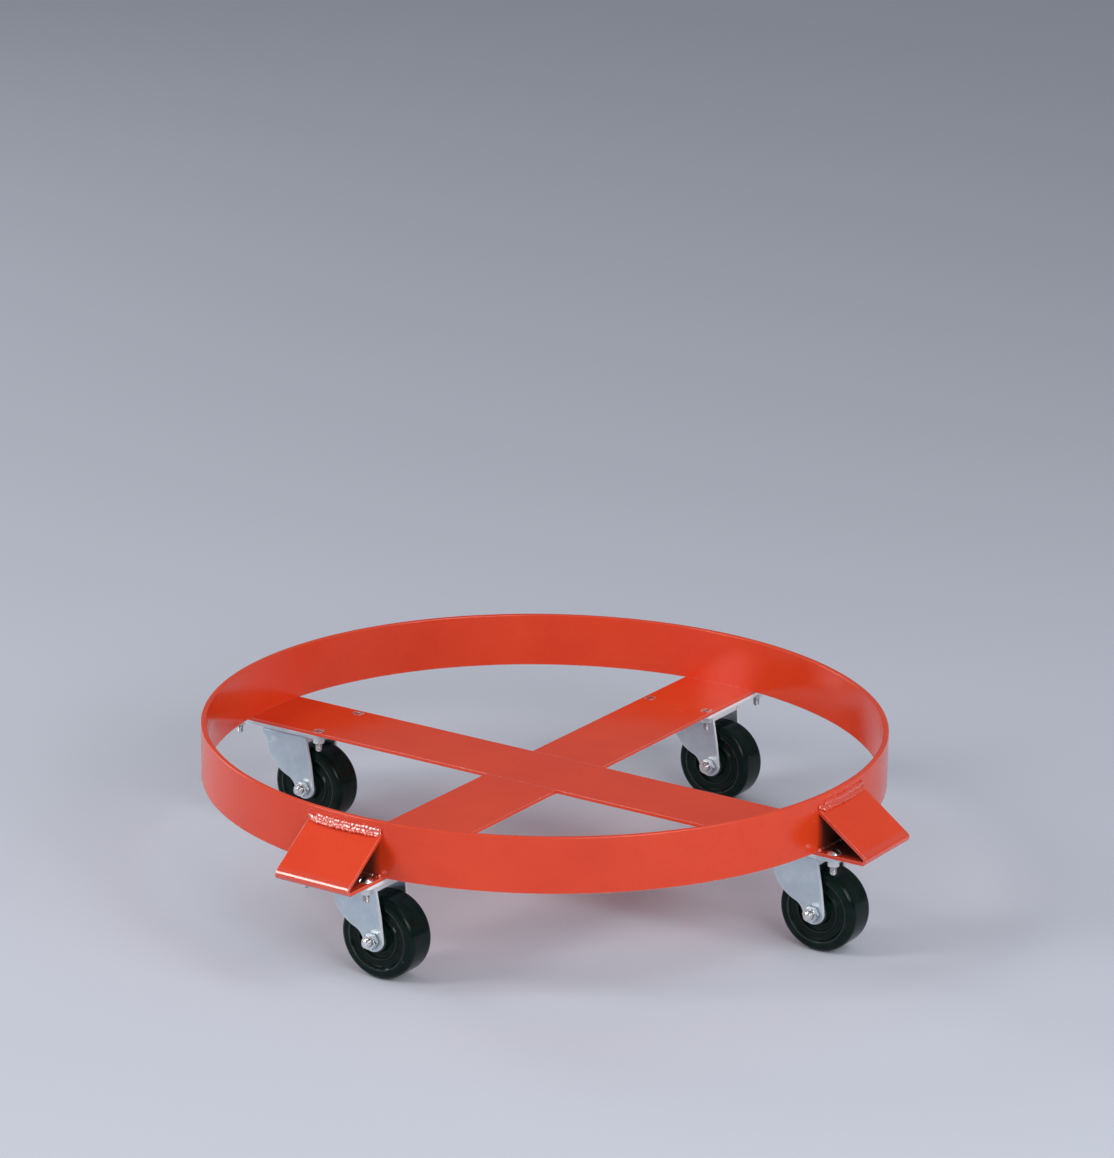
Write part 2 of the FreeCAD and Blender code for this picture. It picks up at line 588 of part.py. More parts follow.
def make_plate_nuts():
    """The four nuts of one caster."""
    nut = hexagon(NUT_ACROSS_FLATS, NUT_BOTTOM_Z, PLATE_BOTTOM_Z)
    nut = nut.cut(disc(BOLT_DIAMETER / 2, NUT_BOTTOM_Z, PLATE_BOTTOM_Z))
    nuts = []
    for place, _ in bolt_places():
        copy = nut.copy()
        copy.translate(V(place.x, place.y, 0))
        nuts.append(copy)
    return Part.makeCompound(nuts)


# Assembly


def frame_nodes():
    """The welded frame: band, bars and weld beads."""
    half_bar = make_arm(BAR_WIDTH / 2)
    gusset_weld, root_weld, centre_weld = make_gusset_weld(), make_root_weld(), make_centre_weld()
    angles = list(BAR_ANGLE.values())
    return {
        "ring_band": make_band(),
        "band_seam_weld": make_seam_weld(),
        "cross_bar_long": make_long_bar(),
        "cross_bar_front": turned(half_bar, BAR_ANGLE["front"]),
        "cross_bar_back": turned(half_bar, BAR_ANGLE["back"]),
        "gusset_welds": Part.makeCompound([turned(gusset_weld, angle) for angle in angles]),
        "band_root_welds": Part.makeCompound([turned(root_weld, angle) for angle in angles]),
        "centre_welds": Part.makeCompound([turned(centre_weld, angle) for angle in (0, 180)]),
    }


def caster_nodes():
    """Every piece of the four casters, in place, with all four wheels trailing along +X."""
    on_arm = {"mount_bolts": make_plate_bolts(), "mount_nuts": make_plate_nuts()}
    on_pin = {"top_plate": make_top_plate(), "king_pin": make_king_pin(), "lower_race": make_lower_race()}
    swivelling = {
        "upper_balls": ball_ring(UPPER_BALL_DIAMETER, UPPER_BALL_CIRCLE, UPPER_BALL_Z),
        "lower_balls": ball_ring(LOWER_BALL_DIAMETER, LOWER_BALL_CIRCLE, LOWER_BALL_Z),
        "fork": make_fork(),
        "axle_bolt": make_axle_bolt(),
        "axle_nut": make_axle_nut(),
        "axle_sleeve": make_sleeve(),
        "wheel": make_wheel(),
        "wheel_bush": make_bush(),
    }
    nodes = {}
    for where, angle in BAR_ANGLE.items():
        place = turned(Part.Vertex(CASTER_CIRCLE_RADIUS, 0, 0), angle).Point
        for name, shape in on_arm.items():
            nodes[f"caster_{where}_{name}"] = turned(shape, angle)
        for group, turn in ((on_pin, angle), (swivelling, 0)):
            for name, shape in group.items():
                piece = turned(shape, turn)
                piece.translate(place)
                nodes[f"caster_{where}_{name}"] = piece
    return nodes


def main():
    """Builds every node and writes one STEP file for each."""
    os.makedirs("parts", exist_ok=True)
    for name, shape in {**frame_nodes(), **caster_nodes()}.items():
        shape.exportStep(os.path.join("parts", f"{name}.step"))
        volume = shape.Volume / 1000
        print(f"{name}: {len(shape.Solids)} solid(s), {volume:.2f} cm3, valid {shape.isValid()}")


main()
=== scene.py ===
"""Looks of the drum trolley.

Finishes for every part, worked weld beads, screw threads, floor, light and camera.
"""

from __future__ import annotations

import logging
import math
import random
from dataclasses import dataclass, field
from enum import Enum
from functools import cache
from typing import Any, Callable, Iterable

import bmesh
import bpy
from mathutils import Matrix, Vector


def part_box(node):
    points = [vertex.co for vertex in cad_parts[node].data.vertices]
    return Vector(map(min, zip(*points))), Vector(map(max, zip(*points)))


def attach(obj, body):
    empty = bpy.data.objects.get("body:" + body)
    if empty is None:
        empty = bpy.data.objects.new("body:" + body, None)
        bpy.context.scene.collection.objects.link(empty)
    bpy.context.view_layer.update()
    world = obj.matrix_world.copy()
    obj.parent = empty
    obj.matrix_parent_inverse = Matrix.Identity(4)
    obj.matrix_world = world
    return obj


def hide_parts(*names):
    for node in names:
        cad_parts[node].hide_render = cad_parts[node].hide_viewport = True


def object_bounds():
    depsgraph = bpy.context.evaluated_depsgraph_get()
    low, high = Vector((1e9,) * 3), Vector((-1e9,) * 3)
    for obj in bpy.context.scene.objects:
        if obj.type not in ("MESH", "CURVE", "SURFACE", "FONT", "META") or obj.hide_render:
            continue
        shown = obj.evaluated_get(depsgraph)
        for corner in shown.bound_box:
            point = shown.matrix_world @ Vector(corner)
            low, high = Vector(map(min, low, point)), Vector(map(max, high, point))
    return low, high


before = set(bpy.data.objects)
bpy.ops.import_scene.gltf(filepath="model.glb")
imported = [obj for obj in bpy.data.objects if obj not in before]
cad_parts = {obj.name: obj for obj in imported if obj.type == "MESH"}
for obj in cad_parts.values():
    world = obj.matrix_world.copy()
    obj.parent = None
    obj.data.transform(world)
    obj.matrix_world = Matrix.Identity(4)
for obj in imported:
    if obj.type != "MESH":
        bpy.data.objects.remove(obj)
CAD_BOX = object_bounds()
LOG = logging.getLogger("drum_trolley")
MM = 0.001
# Points nearer to each other than this are one point.
SAME_POINT = 1e-6
# Decimal places to which a size in metres is exact in the frame.
SIZE_DIGITS = 6
# Sizes read off the frame: the band's outer radius, the top, reach and width of the bars, and the
# distance of each king pin from the middle.
BAND_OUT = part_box("ring_band")[1].x
BAR_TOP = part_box("ring_band")[0].z
BAR_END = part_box("cross_bar_long")[1].x
BAR_WIDTH = round(2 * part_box("cross_bar_front")[1].x, SIZE_DIGITS)
CASTER_SPREAD = sum(corner.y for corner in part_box("caster_back_king_pin")) / 2

Colour = tuple[float, float, float, float]
Pair = tuple[float, float]
Triple = tuple[float, float, float]
Piece = bpy.types.Object
Socket = bpy.types.NodeSocket
Tree = bpy.types.NodeTree


class Where(Enum):
    """The four bar ends, each with the turn in degrees that brings the +X arm there."""

    FRONT = -90.0
    RIGHT = 0.0
    BACK = 90.0
    LEFT = 180.0

    @property
    def label(self) -> str:
        """The word used in part names."""
        return self.name.lower()

    @property
    def turn(self) -> Matrix:
        """Turn about the middle of the band that brings the +X arm to this place."""
        return Matrix.Rotation(math.radians(self.value), 4, "Z")


class Slot(Enum):
    """The finishes of the part, by the names that its record gives them."""

    PAINT = "frame_paint"
    SHEET = "zinc_sheet"
    BRIGHT = "bright_zinc"
    BALL = "ball_steel"
    RUBBER = "wheel_rubber"
    NYLON = "bush_nylon"


class Bench:
    """The modelling moves that new pieces are made with."""

    @staticmethod
    def clear() -> None:
        """Leaves edit mode and deselects everything."""
        active = bpy.context.view_layer.objects.active
        if active is not None and active.mode != "OBJECT":
            bpy.ops.object.mode_set(mode="OBJECT")
        bpy.ops.object.select_all(action="DESELECT")

    @staticmethod
    def take(*objects: Piece) -> None:
        """Selects only some objects, the first of them active.

        Args:
            objects: The objects to select.
        """
        Bench.clear()
        for item in objects:
            item.select_set(True)
        bpy.context.view_layer.objects.active = objects[0]

    @staticmethod
    def edit(item: Piece) -> None:
        """Opens one object in edit mode with all of it selected.

        Args:
            item: The object to edit.
        """
        Bench.take(item)
        bpy.ops.object.mode_set(mode="EDIT")
        bpy.ops.mesh.select_mode(type="VERT")
        bpy.ops.mesh.select_all(action="SELECT")

    @staticmethod
    def ball() -> Piece:
        """Adds a rough ball of radius one and opens it in edit mode.

        Returns:
            The ball, all of it selected.
        """
        Bench.clear()
        bpy.ops.mesh.primitive_ico_sphere_add(subdivisions=2, radius=1.0)
        item = bpy.context.object
        Bench.edit(item)
        return item

    @staticmethod
    def pick(item: Piece, wanted: Callable[[Vector], bool]) -> None:
        """Selects, in edit mode, the vertices whose place passes a test.

        Args:
            item: The object being edited.
            wanted: Says of a vertex's place whether it is wanted.
        """
        bpy.ops.mesh.select_all(action="DESELECT")
        mesh = bmesh.from_edit_mesh(item.data)
        for vertex in mesh.verts:
            vertex.select_set(wanted(vertex.co))
        mesh.select_flush_mode()
        bmesh.update_edit_mesh(item.data)

    @staticmethod
    def scale(x: float, y: float, z: float) -> None:
        """Scales, in edit mode, what is selected about the origin."""
        bpy.ops.transform.resize(value=(x, y, z), center_override=(0, 0, 0))

    @staticmethod
    def apply(item: Piece, kind: str, **settings: Any) -> None:
        """Adds one modifier and applies it.

        Args:
            item: The object to change.
            kind: The modifier's type.
            settings: Values for the modifier's fields.
        """
        Bench.take(item)
        modifier = item.modifiers.new(kind.lower(), kind)
        for name, value in settings.items():
            setattr(modifier, name, value)
        bpy.ops.object.modifier_apply(modifier=modifier.name)

    @staticmethod
    def copy(item: Piece, name: str, place: Matrix) -> Piece:
        """Copies a piece with a mesh of its own and moves that mesh.

        Args:
            item: The piece to copy.
            name: The copy's name.
            place: The move, put into the mesh.

        Returns:
            The copy, free of the body that the original rides on.
        """
        twin = bpy.data.objects.new(name, item.data.copy())
        twin.data.name = name
        twin.data.transform(place)
        bpy.context.scene.collection.objects.link(twin)
        return twin

    @staticmethod
    def join(name: str, items: list[Piece]) -> Piece:
        """Joins pieces into the first of them.

        Args:
            name: Name of the result.
            items: The pieces to join.

        Returns:
            The joined piece.
        """
        Bench.take(*items)
        if len(items) > 1:
            bpy.ops.object.join()
        items[0].name = name
        items[0].data.name = name
        return items[0]

    @staticmethod
    def smooth(item: Piece, degrees: float) -> None:
        """Shades a piece smooth, except over edges sharper than an angle."""
        Bench.take(item)
        bpy.ops.object.shade_smooth_by_angle(angle=math.radians(degrees))


class Graph:
    """A node tree with short ways to add and join its nodes."""

    # Places of the colours on a mix node, whose sockets share their names.
    first_colour: int = 6
    second_colour: int = 7
    mixed_colour: int = 2

    def __init__(self, tree: Tree) -> None:
        """Holds the tree to work on."""
        self.tree = tree

    def add(self, kind: str, inputs: dict[str, Any] | None = None, **settings: Any) -> bpy.types.Node:
        """Adds a node.

        Args:
            kind: The node's type.
            inputs: A value or a socket to join, for each named input.
            settings: Values for the node's own fields.

        Returns:
            The new node.
        """
        node = self.tree.nodes.new(kind)
        for name, value in settings.items():
            setattr(node, name, value)
        for name, value in (inputs or {}).items():
            self.feed(node.inputs[name], value)
        return node

    def feed(self, socket: Socket, value: Any) -> None:
        """Joins a socket to an input, or sets the input's value.

        Args:
            socket: The input.
            value: The socket to join, or the value to set.
        """
        if isinstance(value, Socket):
            self.tree.links.new(value, socket)
        else:
            socket.default_value = value

    def calc(self, operation: str, first: Any, second: Any = 0.0) -> Socket:
        """Adds a math node.

        Args:
            operation: What the node works out.
            first: A value or a socket.
            second: Another, where the operation takes two.

        Returns:
            The result.
        """
        node = self.add("ShaderNodeMath", operation=operation)
        self.feed(node.inputs[0], first)
        self.feed(node.inputs[1], second)
        return node.outputs[0]

    def plus(self, first: Any, second: Any) -> Socket:
        """Sum of two values."""
        return self.calc("ADD", first, second)

    def minus(self, first: Any, second: Any) -> Socket:
        """First value less the second."""
        return self.calc("SUBTRACT", first, second)

    def times(self, first: Any, second: Any) -> Socket:
        """Product of two values."""
        return self.calc("MULTIPLY", first, second)

    def larger(self, first: Any, second: Any) -> Socket:
        """Larger of two values."""
        return self.calc("MAXIMUM", first, second)

    def smaller(self, first: Any, second: Any) -> Socket:
        """Smaller of two values."""
        return self.calc("MINIMUM", first, second)

    def size(self, value: Any) -> Socket:
        """A value without its sign."""
        return self.calc("ABSOLUTE", value)

    def more(self, base: Any, extra: Any, share: float) -> Socket:
        """A value raised by a share of another."""
        return self.plus(base, self.times(extra, share))

    def weigh(self, first: Any, second: Any, share: float) -> Socket:
        """Mean of two values, in which the first counts for a share."""
        return self.more(self.times(first, share), second, 1.0 - share)

    def span(self, value: Any, first: Any, last: Any, start: Any = 0.0, end: Any = 1.0) -> Socket:
        """Maps the stretch from first to last onto start to end, and holds it outside."""
        inputs = {"Value": value, "From Min": first, "From Max": last, "To Min": start, "To Max": end}
        return self.add("ShaderNodeMapRange", inputs).outputs[0]

    def between(self, share: Any, start: float, end: float) -> Socket:
        """Value on the way from start to end, by a share."""
        return self.span(share, 0.0, 1.0, start, end)

    def noise(self, vector: Any, scale: Any, detail: float, rough: float = 0.5) -> Socket:
        """Cloudy noise of a given scale."""
        inputs = {"Vector": vector, "Scale": scale, "Detail": detail, "Roughness": rough}
        return self.add("ShaderNodeTexNoise", inputs).outputs[0]

    def split(self, vector: Any) -> Any:
        """Parts of a vector, by the names of the axes."""
        return self.add("ShaderNodeSeparateXYZ", {"Vector": vector}).outputs

    def blend(self, share: Any, first: Any, second: Any) -> Socket:
        """Blends two colours.

        Args:
            share: How much of the second colour there is.
            first: A colour or a socket.
            second: Another.

        Returns:
            The blend.
        """
        node = self.add("ShaderNodeMix", data_type="RGBA")
        self.feed(node.inputs[0], share)
        self.feed(node.inputs[self.first_colour], first)
        self.feed(node.inputs[self.second_colour], second)
        return node.outputs[self.mixed_colour]

    def cover(self, colour: Any, over: Any, mask: Any, strength: float) -> Socket:
        """A colour with another laid over it where a mask says, at some strength."""
        return self.blend(self.times(mask, strength), colour, over)


class Effects:
    """Node groups that several finishes share, each built once."""

    noise_middle: float = 0.5
    # Cosines of the bends at which an edge begins to count and counts in full, and the stretch of
    # noise over which its wear breaks up.
    edge_bend: Pair = (0.985, 0.80)
    edge_breaks: Pair = (0.42, 0.62)
    crevice_grain: float = 300.0
    # How far specks stray in cells, how much finer that straying is, and how soft their rims are.
    speck_stray: float = 0.35
    speck_finer: float = 2.5
    speck_rim: float = 0.06
    # How much finer the patches that hold scratches are than the lines, and how soft their rims are.
    patch_finer: float = 1.7
    patch_rim: float = 0.1

    @staticmethod
    def start(name: str, inputs: dict[str, float], outputs: Iterable[str]) -> tuple[Graph, Any, Any]:
        """Makes an empty group with its sockets.

        Args:
            name: The group's name.
            inputs: Number inputs with their usual values; every group also has a Vector input.
            outputs: Names of the number outputs.

        Returns:
            The group's graph, and the sockets that it is given and that it puts out, by name.
        """
        tree = bpy.data.node_groups.new(name, "ShaderNodeTree")
        tree.interface.new_socket("Vector", in_out="INPUT", socket_type="NodeSocketVector")
        for label, value in inputs.items():
            socket = tree.interface.new_socket(label, in_out="INPUT", socket_type="NodeSocketFloat")
            socket.default_value = value
        for label in outputs:
            tree.interface.new_socket(label, in_out="OUTPUT", socket_type="NodeSocketFloat")
        graph = Graph(tree)
        return graph, graph.add("NodeGroupInput").outputs, graph.add("NodeGroupOutput").inputs

    @classmethod
    @cache
    def mottle(cls) -> Tree:
        """Cloudy variation of a chosen scale, pulled out to a full range.

        Returns:
            The group.
        """
        graph, given, result = cls.start("mottle", {"Scale": 40.0, "Contrast": 0.2}, ["Value"])
        cloud = graph.noise(given["Vector"], given["Scale"], detail=4.0, rough=0.55)
        low = graph.minus(cls.noise_middle, given["Contrast"])
        high = graph.plus(cls.noise_middle, given["Contrast"])
        graph.feed(result["Value"], graph.span(cloud, low, high))
        return graph.tree

    @classmethod
    @cache
    def edge_wear(cls) -> Tree:
        """Mask of the outside and inside corners of a piece, broken up by noise.

        Returns:
            The group.
        """
        inputs = {"Radius": 1.0 * MM, "Breakup": 300.0, "Least": 0.2}
        graph, given, result = cls.start("edge_wear", inputs, ["Edge", "Worn"])
        eased = graph.add("ShaderNodeBevel", {"Radius": given["Radius"]}, samples=6)
        facing = graph.add("ShaderNodeVectorMath", operation="DOT_PRODUCT")
        graph.feed(facing.inputs[0], eased.outputs[0])
        graph.feed(facing.inputs[1], graph.add("ShaderNodeNewGeometry").outputs["Normal"])
        edge = graph.span(facing.outputs["Value"], *cls.edge_bend)
        cloud = graph.noise(given["Vector"], given["Breakup"], detail=3.0, rough=0.6)
        kept = graph.larger(graph.span(cloud, *cls.edge_breaks), given["Least"])
        graph.feed(result["Edge"], edge)
        graph.feed(result["Worn"], graph.times(edge, kept))
        return graph.tree

    @classmethod
    @cache
    def crevice(cls) -> Tree:
        """Mask of the narrow places where pieces meet and shade gathers, for painted shade.

        Returns:
            The group.
        """
        inputs = {"Reach": 3.0 * MM, "Open": 0.85, "Shut": 0.35}
        graph, given, result = cls.start("crevice", inputs, ["Mask"])
        room = graph.add("ShaderNodeAmbientOcclusion", {"Distance": given["Reach"]}, samples=8)
        shut = graph.span(room.outputs["AO"], given["Open"], given["Shut"])
        grain = graph.noise(given["Vector"], cls.crevice_grain, detail=2.0)
        soft = graph.span(grain, first=0.2, last=0.6, start=0.6, end=1.0)
        graph.feed(result["Mask"], graph.times(shut, soft))
        return graph.tree

    @classmethod
    @cache
    def specks(cls) -> Tree:
        """Mask of small separate spots, of which only a share of the cells has one.

        Returns:
            The group.
        """
        inputs = {"Scale": 200.0, "Share": 0.05, "Size": 0.25}
        graph, given, result = cls.start("specks", inputs, ["Mask"])
        wander = graph.add("ShaderNodeTexNoise", {"Vector": given["Vector"], "Detail": 2.0})
        graph.feed(wander.inputs["Scale"], graph.times(given["Scale"], cls.speck_finer))
        shift = graph.add("ShaderNodeVectorMath", operation="SCALE")
        graph.feed(shift.inputs[0], wander.outputs["Color"])
        graph.feed(shift.inputs["Scale"], graph.calc("DIVIDE", cls.speck_stray, given["Scale"]))
        place = graph.add("ShaderNodeVectorMath", operation="ADD")
        graph.feed(place.inputs[0], given["Vector"])
        graph.feed(place.inputs[1], shift.outputs[0])
        cells = graph.add("ShaderNodeTexVoronoi", {"Vector": place.outputs[0], "Scale": given["Scale"]})
        draw = graph.add("ShaderNodeSeparateColor", {"Color": cells.outputs["Color"]})
        chosen = graph.calc("LESS_THAN", draw.outputs[0], given["Share"])
        size = graph.times(given["Size"], draw.outputs[1])
        inside = graph.span(graph.minus(size, cells.outputs["Distance"]), 0.0, cls.speck_rim)
        graph.feed(result["Mask"], graph.times(inside, chosen))
        return graph.tree

    @classmethod
    @cache
    def scratches(cls) -> Tree:
        """Mask of a few fine wandering lines.

        Returns:
            The group.
        """
        inputs = {"Scale": 18.0, "Width": 0.004, "Share": 0.5}
        graph, given, result = cls.start("scratches", inputs, ["Mask"])
        cloud = graph.noise(given["Vector"], given["Scale"], detail=1.0, rough=0.4)
        off = graph.size(graph.minus(cloud, cls.noise_middle))
        thin = graph.span(off, given["Width"], 0.0)
        patch = graph.noise(given["Vector"], graph.times(given["Scale"], cls.patch_finer), detail=2.0)
        here = graph.span(patch, given["Share"], graph.plus(given["Share"], cls.patch_rim))
        graph.feed(result["Mask"], graph.times(thin, here))
        return graph.tree


class MaterialGraph(Graph):
    """A material in the making: its nodes, its coordinates and its shader."""

    def __init__(self, name: str) -> None:
        """Starts a material that has nothing but its shader.

        Args:
            name: The material's name.
        """
        self.material = bpy.data.materials.new(name)
        self.material.use_nodes = True
        super().__init__(self.material.node_tree)
        self.shader = self.tree.nodes["Principled BSDF"]
        coordinates = self.add("ShaderNodeTexCoord").outputs
        self.where = coordinates["Object"]
        self.facing = coordinates["Normal"]

    def effect(self, group: Tree, **values: float) -> Any:
        """Places a shared effect with its own values.

        Args:
            group: The shared group.
            values: Values for the group's inputs, by name in lower case.

        Returns:
            What the group puts out, by name.
        """
        node = self.add("ShaderNodeGroup", {"Vector": self.where}, node_tree=group)
        for name, value in values.items():
            node.inputs[name.capitalize()].default_value = value
        return node.outputs

    def relief(self, height: Any, depth: float, strength: float, ease: float) -> Socket:
        """Normal with corners eased and a relief on top.

        Args:
            height: The relief, from 0 to 1.
            depth: Its depth in metres.
            strength: How much of it shows.
            ease: Radius of the eased corners in metres.

        Returns:
            The normal.
        """
        corners = self.add("ShaderNodeBevel", {"Radius": ease}, samples=8).outputs[0]
        inputs = {"Height": height, "Distance": depth, "Strength": strength, "Normal": corners}
        return self.add("ShaderNodeBump", inputs).outputs[0]

    def finish(self, sockets: dict[str, Any]) -> bpy.types.Material:
        """Feeds the shader.

        Args:
            sockets: A value or a socket to join, for each of the shader's inputs in use.

        Returns:
            The finished material.
        """
        for name, value in sockets.items():
            self.feed(self.shader.inputs[name], value)
        return self.material


@dataclass(frozen=True)
class Finish:
    """What every finish has in common: its slot and its name."""

    slot: Slot
    title: str = "finish"

    def begin(self) -> MaterialGraph:
        """Starts the finish's material."""
        return MaterialGraph(f"{self.title}_{self.slot.value}")


@dataclass(frozen=True)
class EnamelPaint(Finish):
    """Sprayed enamel: slightly mottled, orange-peeled, thin and chipped along its edges, where its paleness
    is partly a painted highlight, and with painted shade under the gussets.
    """

    slot: Slot = Slot.PAINT
    deep: Colour = (0.73, 0.046, 0.010, 1.0)
    light: Colour = (0.82, 0.064, 0.015, 1.0)
    # Pale edge colour, laid on with the wear strength: partly paint worn thin, partly a painted highlight.
    thin: Colour = (0.94, 0.34, 0.25, 1.0)
    bare: Colour = (0.50, 0.46, 0.44, 1.0)
    # Painted shade for the hollows under the gussets, partly also steel that the spray hardly reached.
    shade_and_unsprayed: Colour = (0.050, 0.020, 0.014, 1.0)
    gloss: Pair = (0.15, 0.26)
    dulled: float = 0.2
    wear: float = 0.8
    dot_strength: float = 0.6
    chip_depth: float = 0.5
    ease: float = 0.8 * MM
    peel_scale: float = 520.0
    sag_scale: float = 85.0
    # The wet skin: its shine, how much of it lies everywhere, and where it sets in on a bar's end.
    skin: float = 1.7
    skin_roughness: float = 0.07
    flow: float = 0.0
    flow_range: Pair = (BAR_END - 6.3 * MM, BAR_END - 3.3 * MM)
    # The hollow under a gusset, which gets painted shade: its foot, its sloping roof, its two ends and its
    # open sides.
    pocket_low: float = BAR_TOP - 0.2 * MM
    pocket_foot: float = 0.6 * MM
    pocket_reach: float = BAR_END - 1.0 * MM
    pocket_slope: float = 0.719
    pocket_roof: Pair = (-2.4 * MM, -1.6 * MM)
    pocket_start: Pair = (BAND_OUT - 2.3 * MM, BAND_OUT - 1.3 * MM)
    pocket_end: Pair = (BAR_END - 1.7 * MM, BAR_END - 2.7 * MM)
    pocket_side: float = BAR_WIDTH / 2
    pocket_lip: float = 0.2 * MM
    # How far in from the open sides the painted shade sets in, at the foot and from some height up.
    shade_inset: Pair = (11.0 * MM, 2.5 * MM)
    shade_inset_height: float = 5.0 * MM

    @staticmethod
    def on_cross(mix: MaterialGraph) -> tuple[Socket, Socket, Socket]:
        """Places on the cross of bars.

        Args:
            mix: The material in the making.

        Returns:
            Distance along the nearest bar, distance from its middle line, and height.
        """
        parts = mix.split(mix.where)
        across = [mix.size(parts[axis]) for axis in "XY"]
        return mix.larger(*across), mix.smaller(*across), parts["Z"]

    def pocket(self, mix: MaterialGraph, out: Socket, aside: Socket, up: Socket) -> Socket:
        """Mask of painted shade in the hollow under each gusset, which also stands for steel that the spray
        hardly reached.

        Args:
            mix: The material in the making.
            out: Distance along the bar.
            aside: Distance from the bar's middle line.
            up: Height.

        Returns:
            The mask, one deep inside the hollow.
        """
        roof = mix.times(mix.minus(self.pocket_reach, out), self.pocket_slope)
        below = mix.minus(mix.plus(roof, self.pocket_low), up)
        above = mix.span(up, self.pocket_low - self.pocket_foot, self.pocket_low)
        inside = mix.times(mix.span(below, *self.pocket_roof), above)
        ends = mix.times(mix.span(out, *self.pocket_start), mix.span(out, *self.pocket_end))
        shade_inset = mix.span(up, self.pocket_low, self.pocket_low + self.shade_inset_height, *self.shade_inset)
        deep = mix.span(aside, self.pocket_side - self.pocket_lip, mix.minus(self.pocket_side, shade_inset))
        return mix.times(mix.times(inside, ends), deep)

    def gathered(self, mix: MaterialGraph, out: Socket, edge: Socket) -> Socket:
        """Mask of where the wet paint gathered into a thick glossy skin: on the folds and along edges."""
        fold = mix.span(out, *self.flow_range)
        return mix.larger(mix.larger(fold, edge), self.flow)

    def material(self) -> bpy.types.Material:
        """Mixes the paint.

        Returns:
            The material.
        """
        mix = self.begin()
        cloud = mix.effect(Effects.mottle(), scale=14.0, contrast=0.22)["Value"]
        grain = mix.effect(Effects.mottle(), scale=260.0, contrast=0.3)["Value"]
        edge = mix.effect(Effects.edge_wear(), radius=1.6 * MM, breakup=160.0, least=0.5)
        chips = mix.effect(Effects.specks(), scale=190.0, share=0.10, size=0.6)["Mask"]
        dots = mix.effect(Effects.specks(), scale=75.0, share=0.025, size=0.10)["Mask"]
        lines = mix.effect(Effects.scratches(), scale=9.0, width=0.0014, share=0.66)["Mask"]
        out, aside, up = self.on_cross(mix)
        shade_and_unsprayed = self.pocket(mix, out, aside, up)
        chipped = mix.larger(mix.times(chips, edge["Edge"]), mix.times(dots, self.dot_strength))
        colour = mix.blend(mix.weigh(cloud, grain, share=0.7), self.deep, self.light)
        # Pale edges: partly thin paint, partly a painted highlight.
        colour = mix.cover(colour, self.thin, edge["Worn"], strength=self.wear)
        colour = mix.cover(colour, self.thin, lines, strength=0.2)
        colour = mix.blend(chipped, colour, self.bare)
        # Painted shade in the hollow under each gusset, which also dulls the paint there.
        colour = mix.cover(colour, self.shade_and_unsprayed, shade_and_unsprayed, strength=0.9)
        rough = mix.more(mix.between(cloud, *self.gloss), mix.larger(lines, shade_and_unsprayed), share=self.dulled)
        peel = mix.noise(mix.where, self.peel_scale, detail=2.0)
        sag = mix.noise(mix.where, self.sag_scale, detail=2.0)
        height = mix.more(mix.more(sag, peel, share=0.35), chipped, share=-self.chip_depth)
        return mix.finish({
            "Base Color": colour,
            "Roughness": rough,
            "Coat Weight": self.gathered(mix, out, edge["Edge"]),
            "Coat IOR": self.skin,
            "Coat Roughness": self.skin_roughness,
            "Normal": mix.relief(height, depth=0.30 * MM, strength=0.22, ease=self.ease),
        })


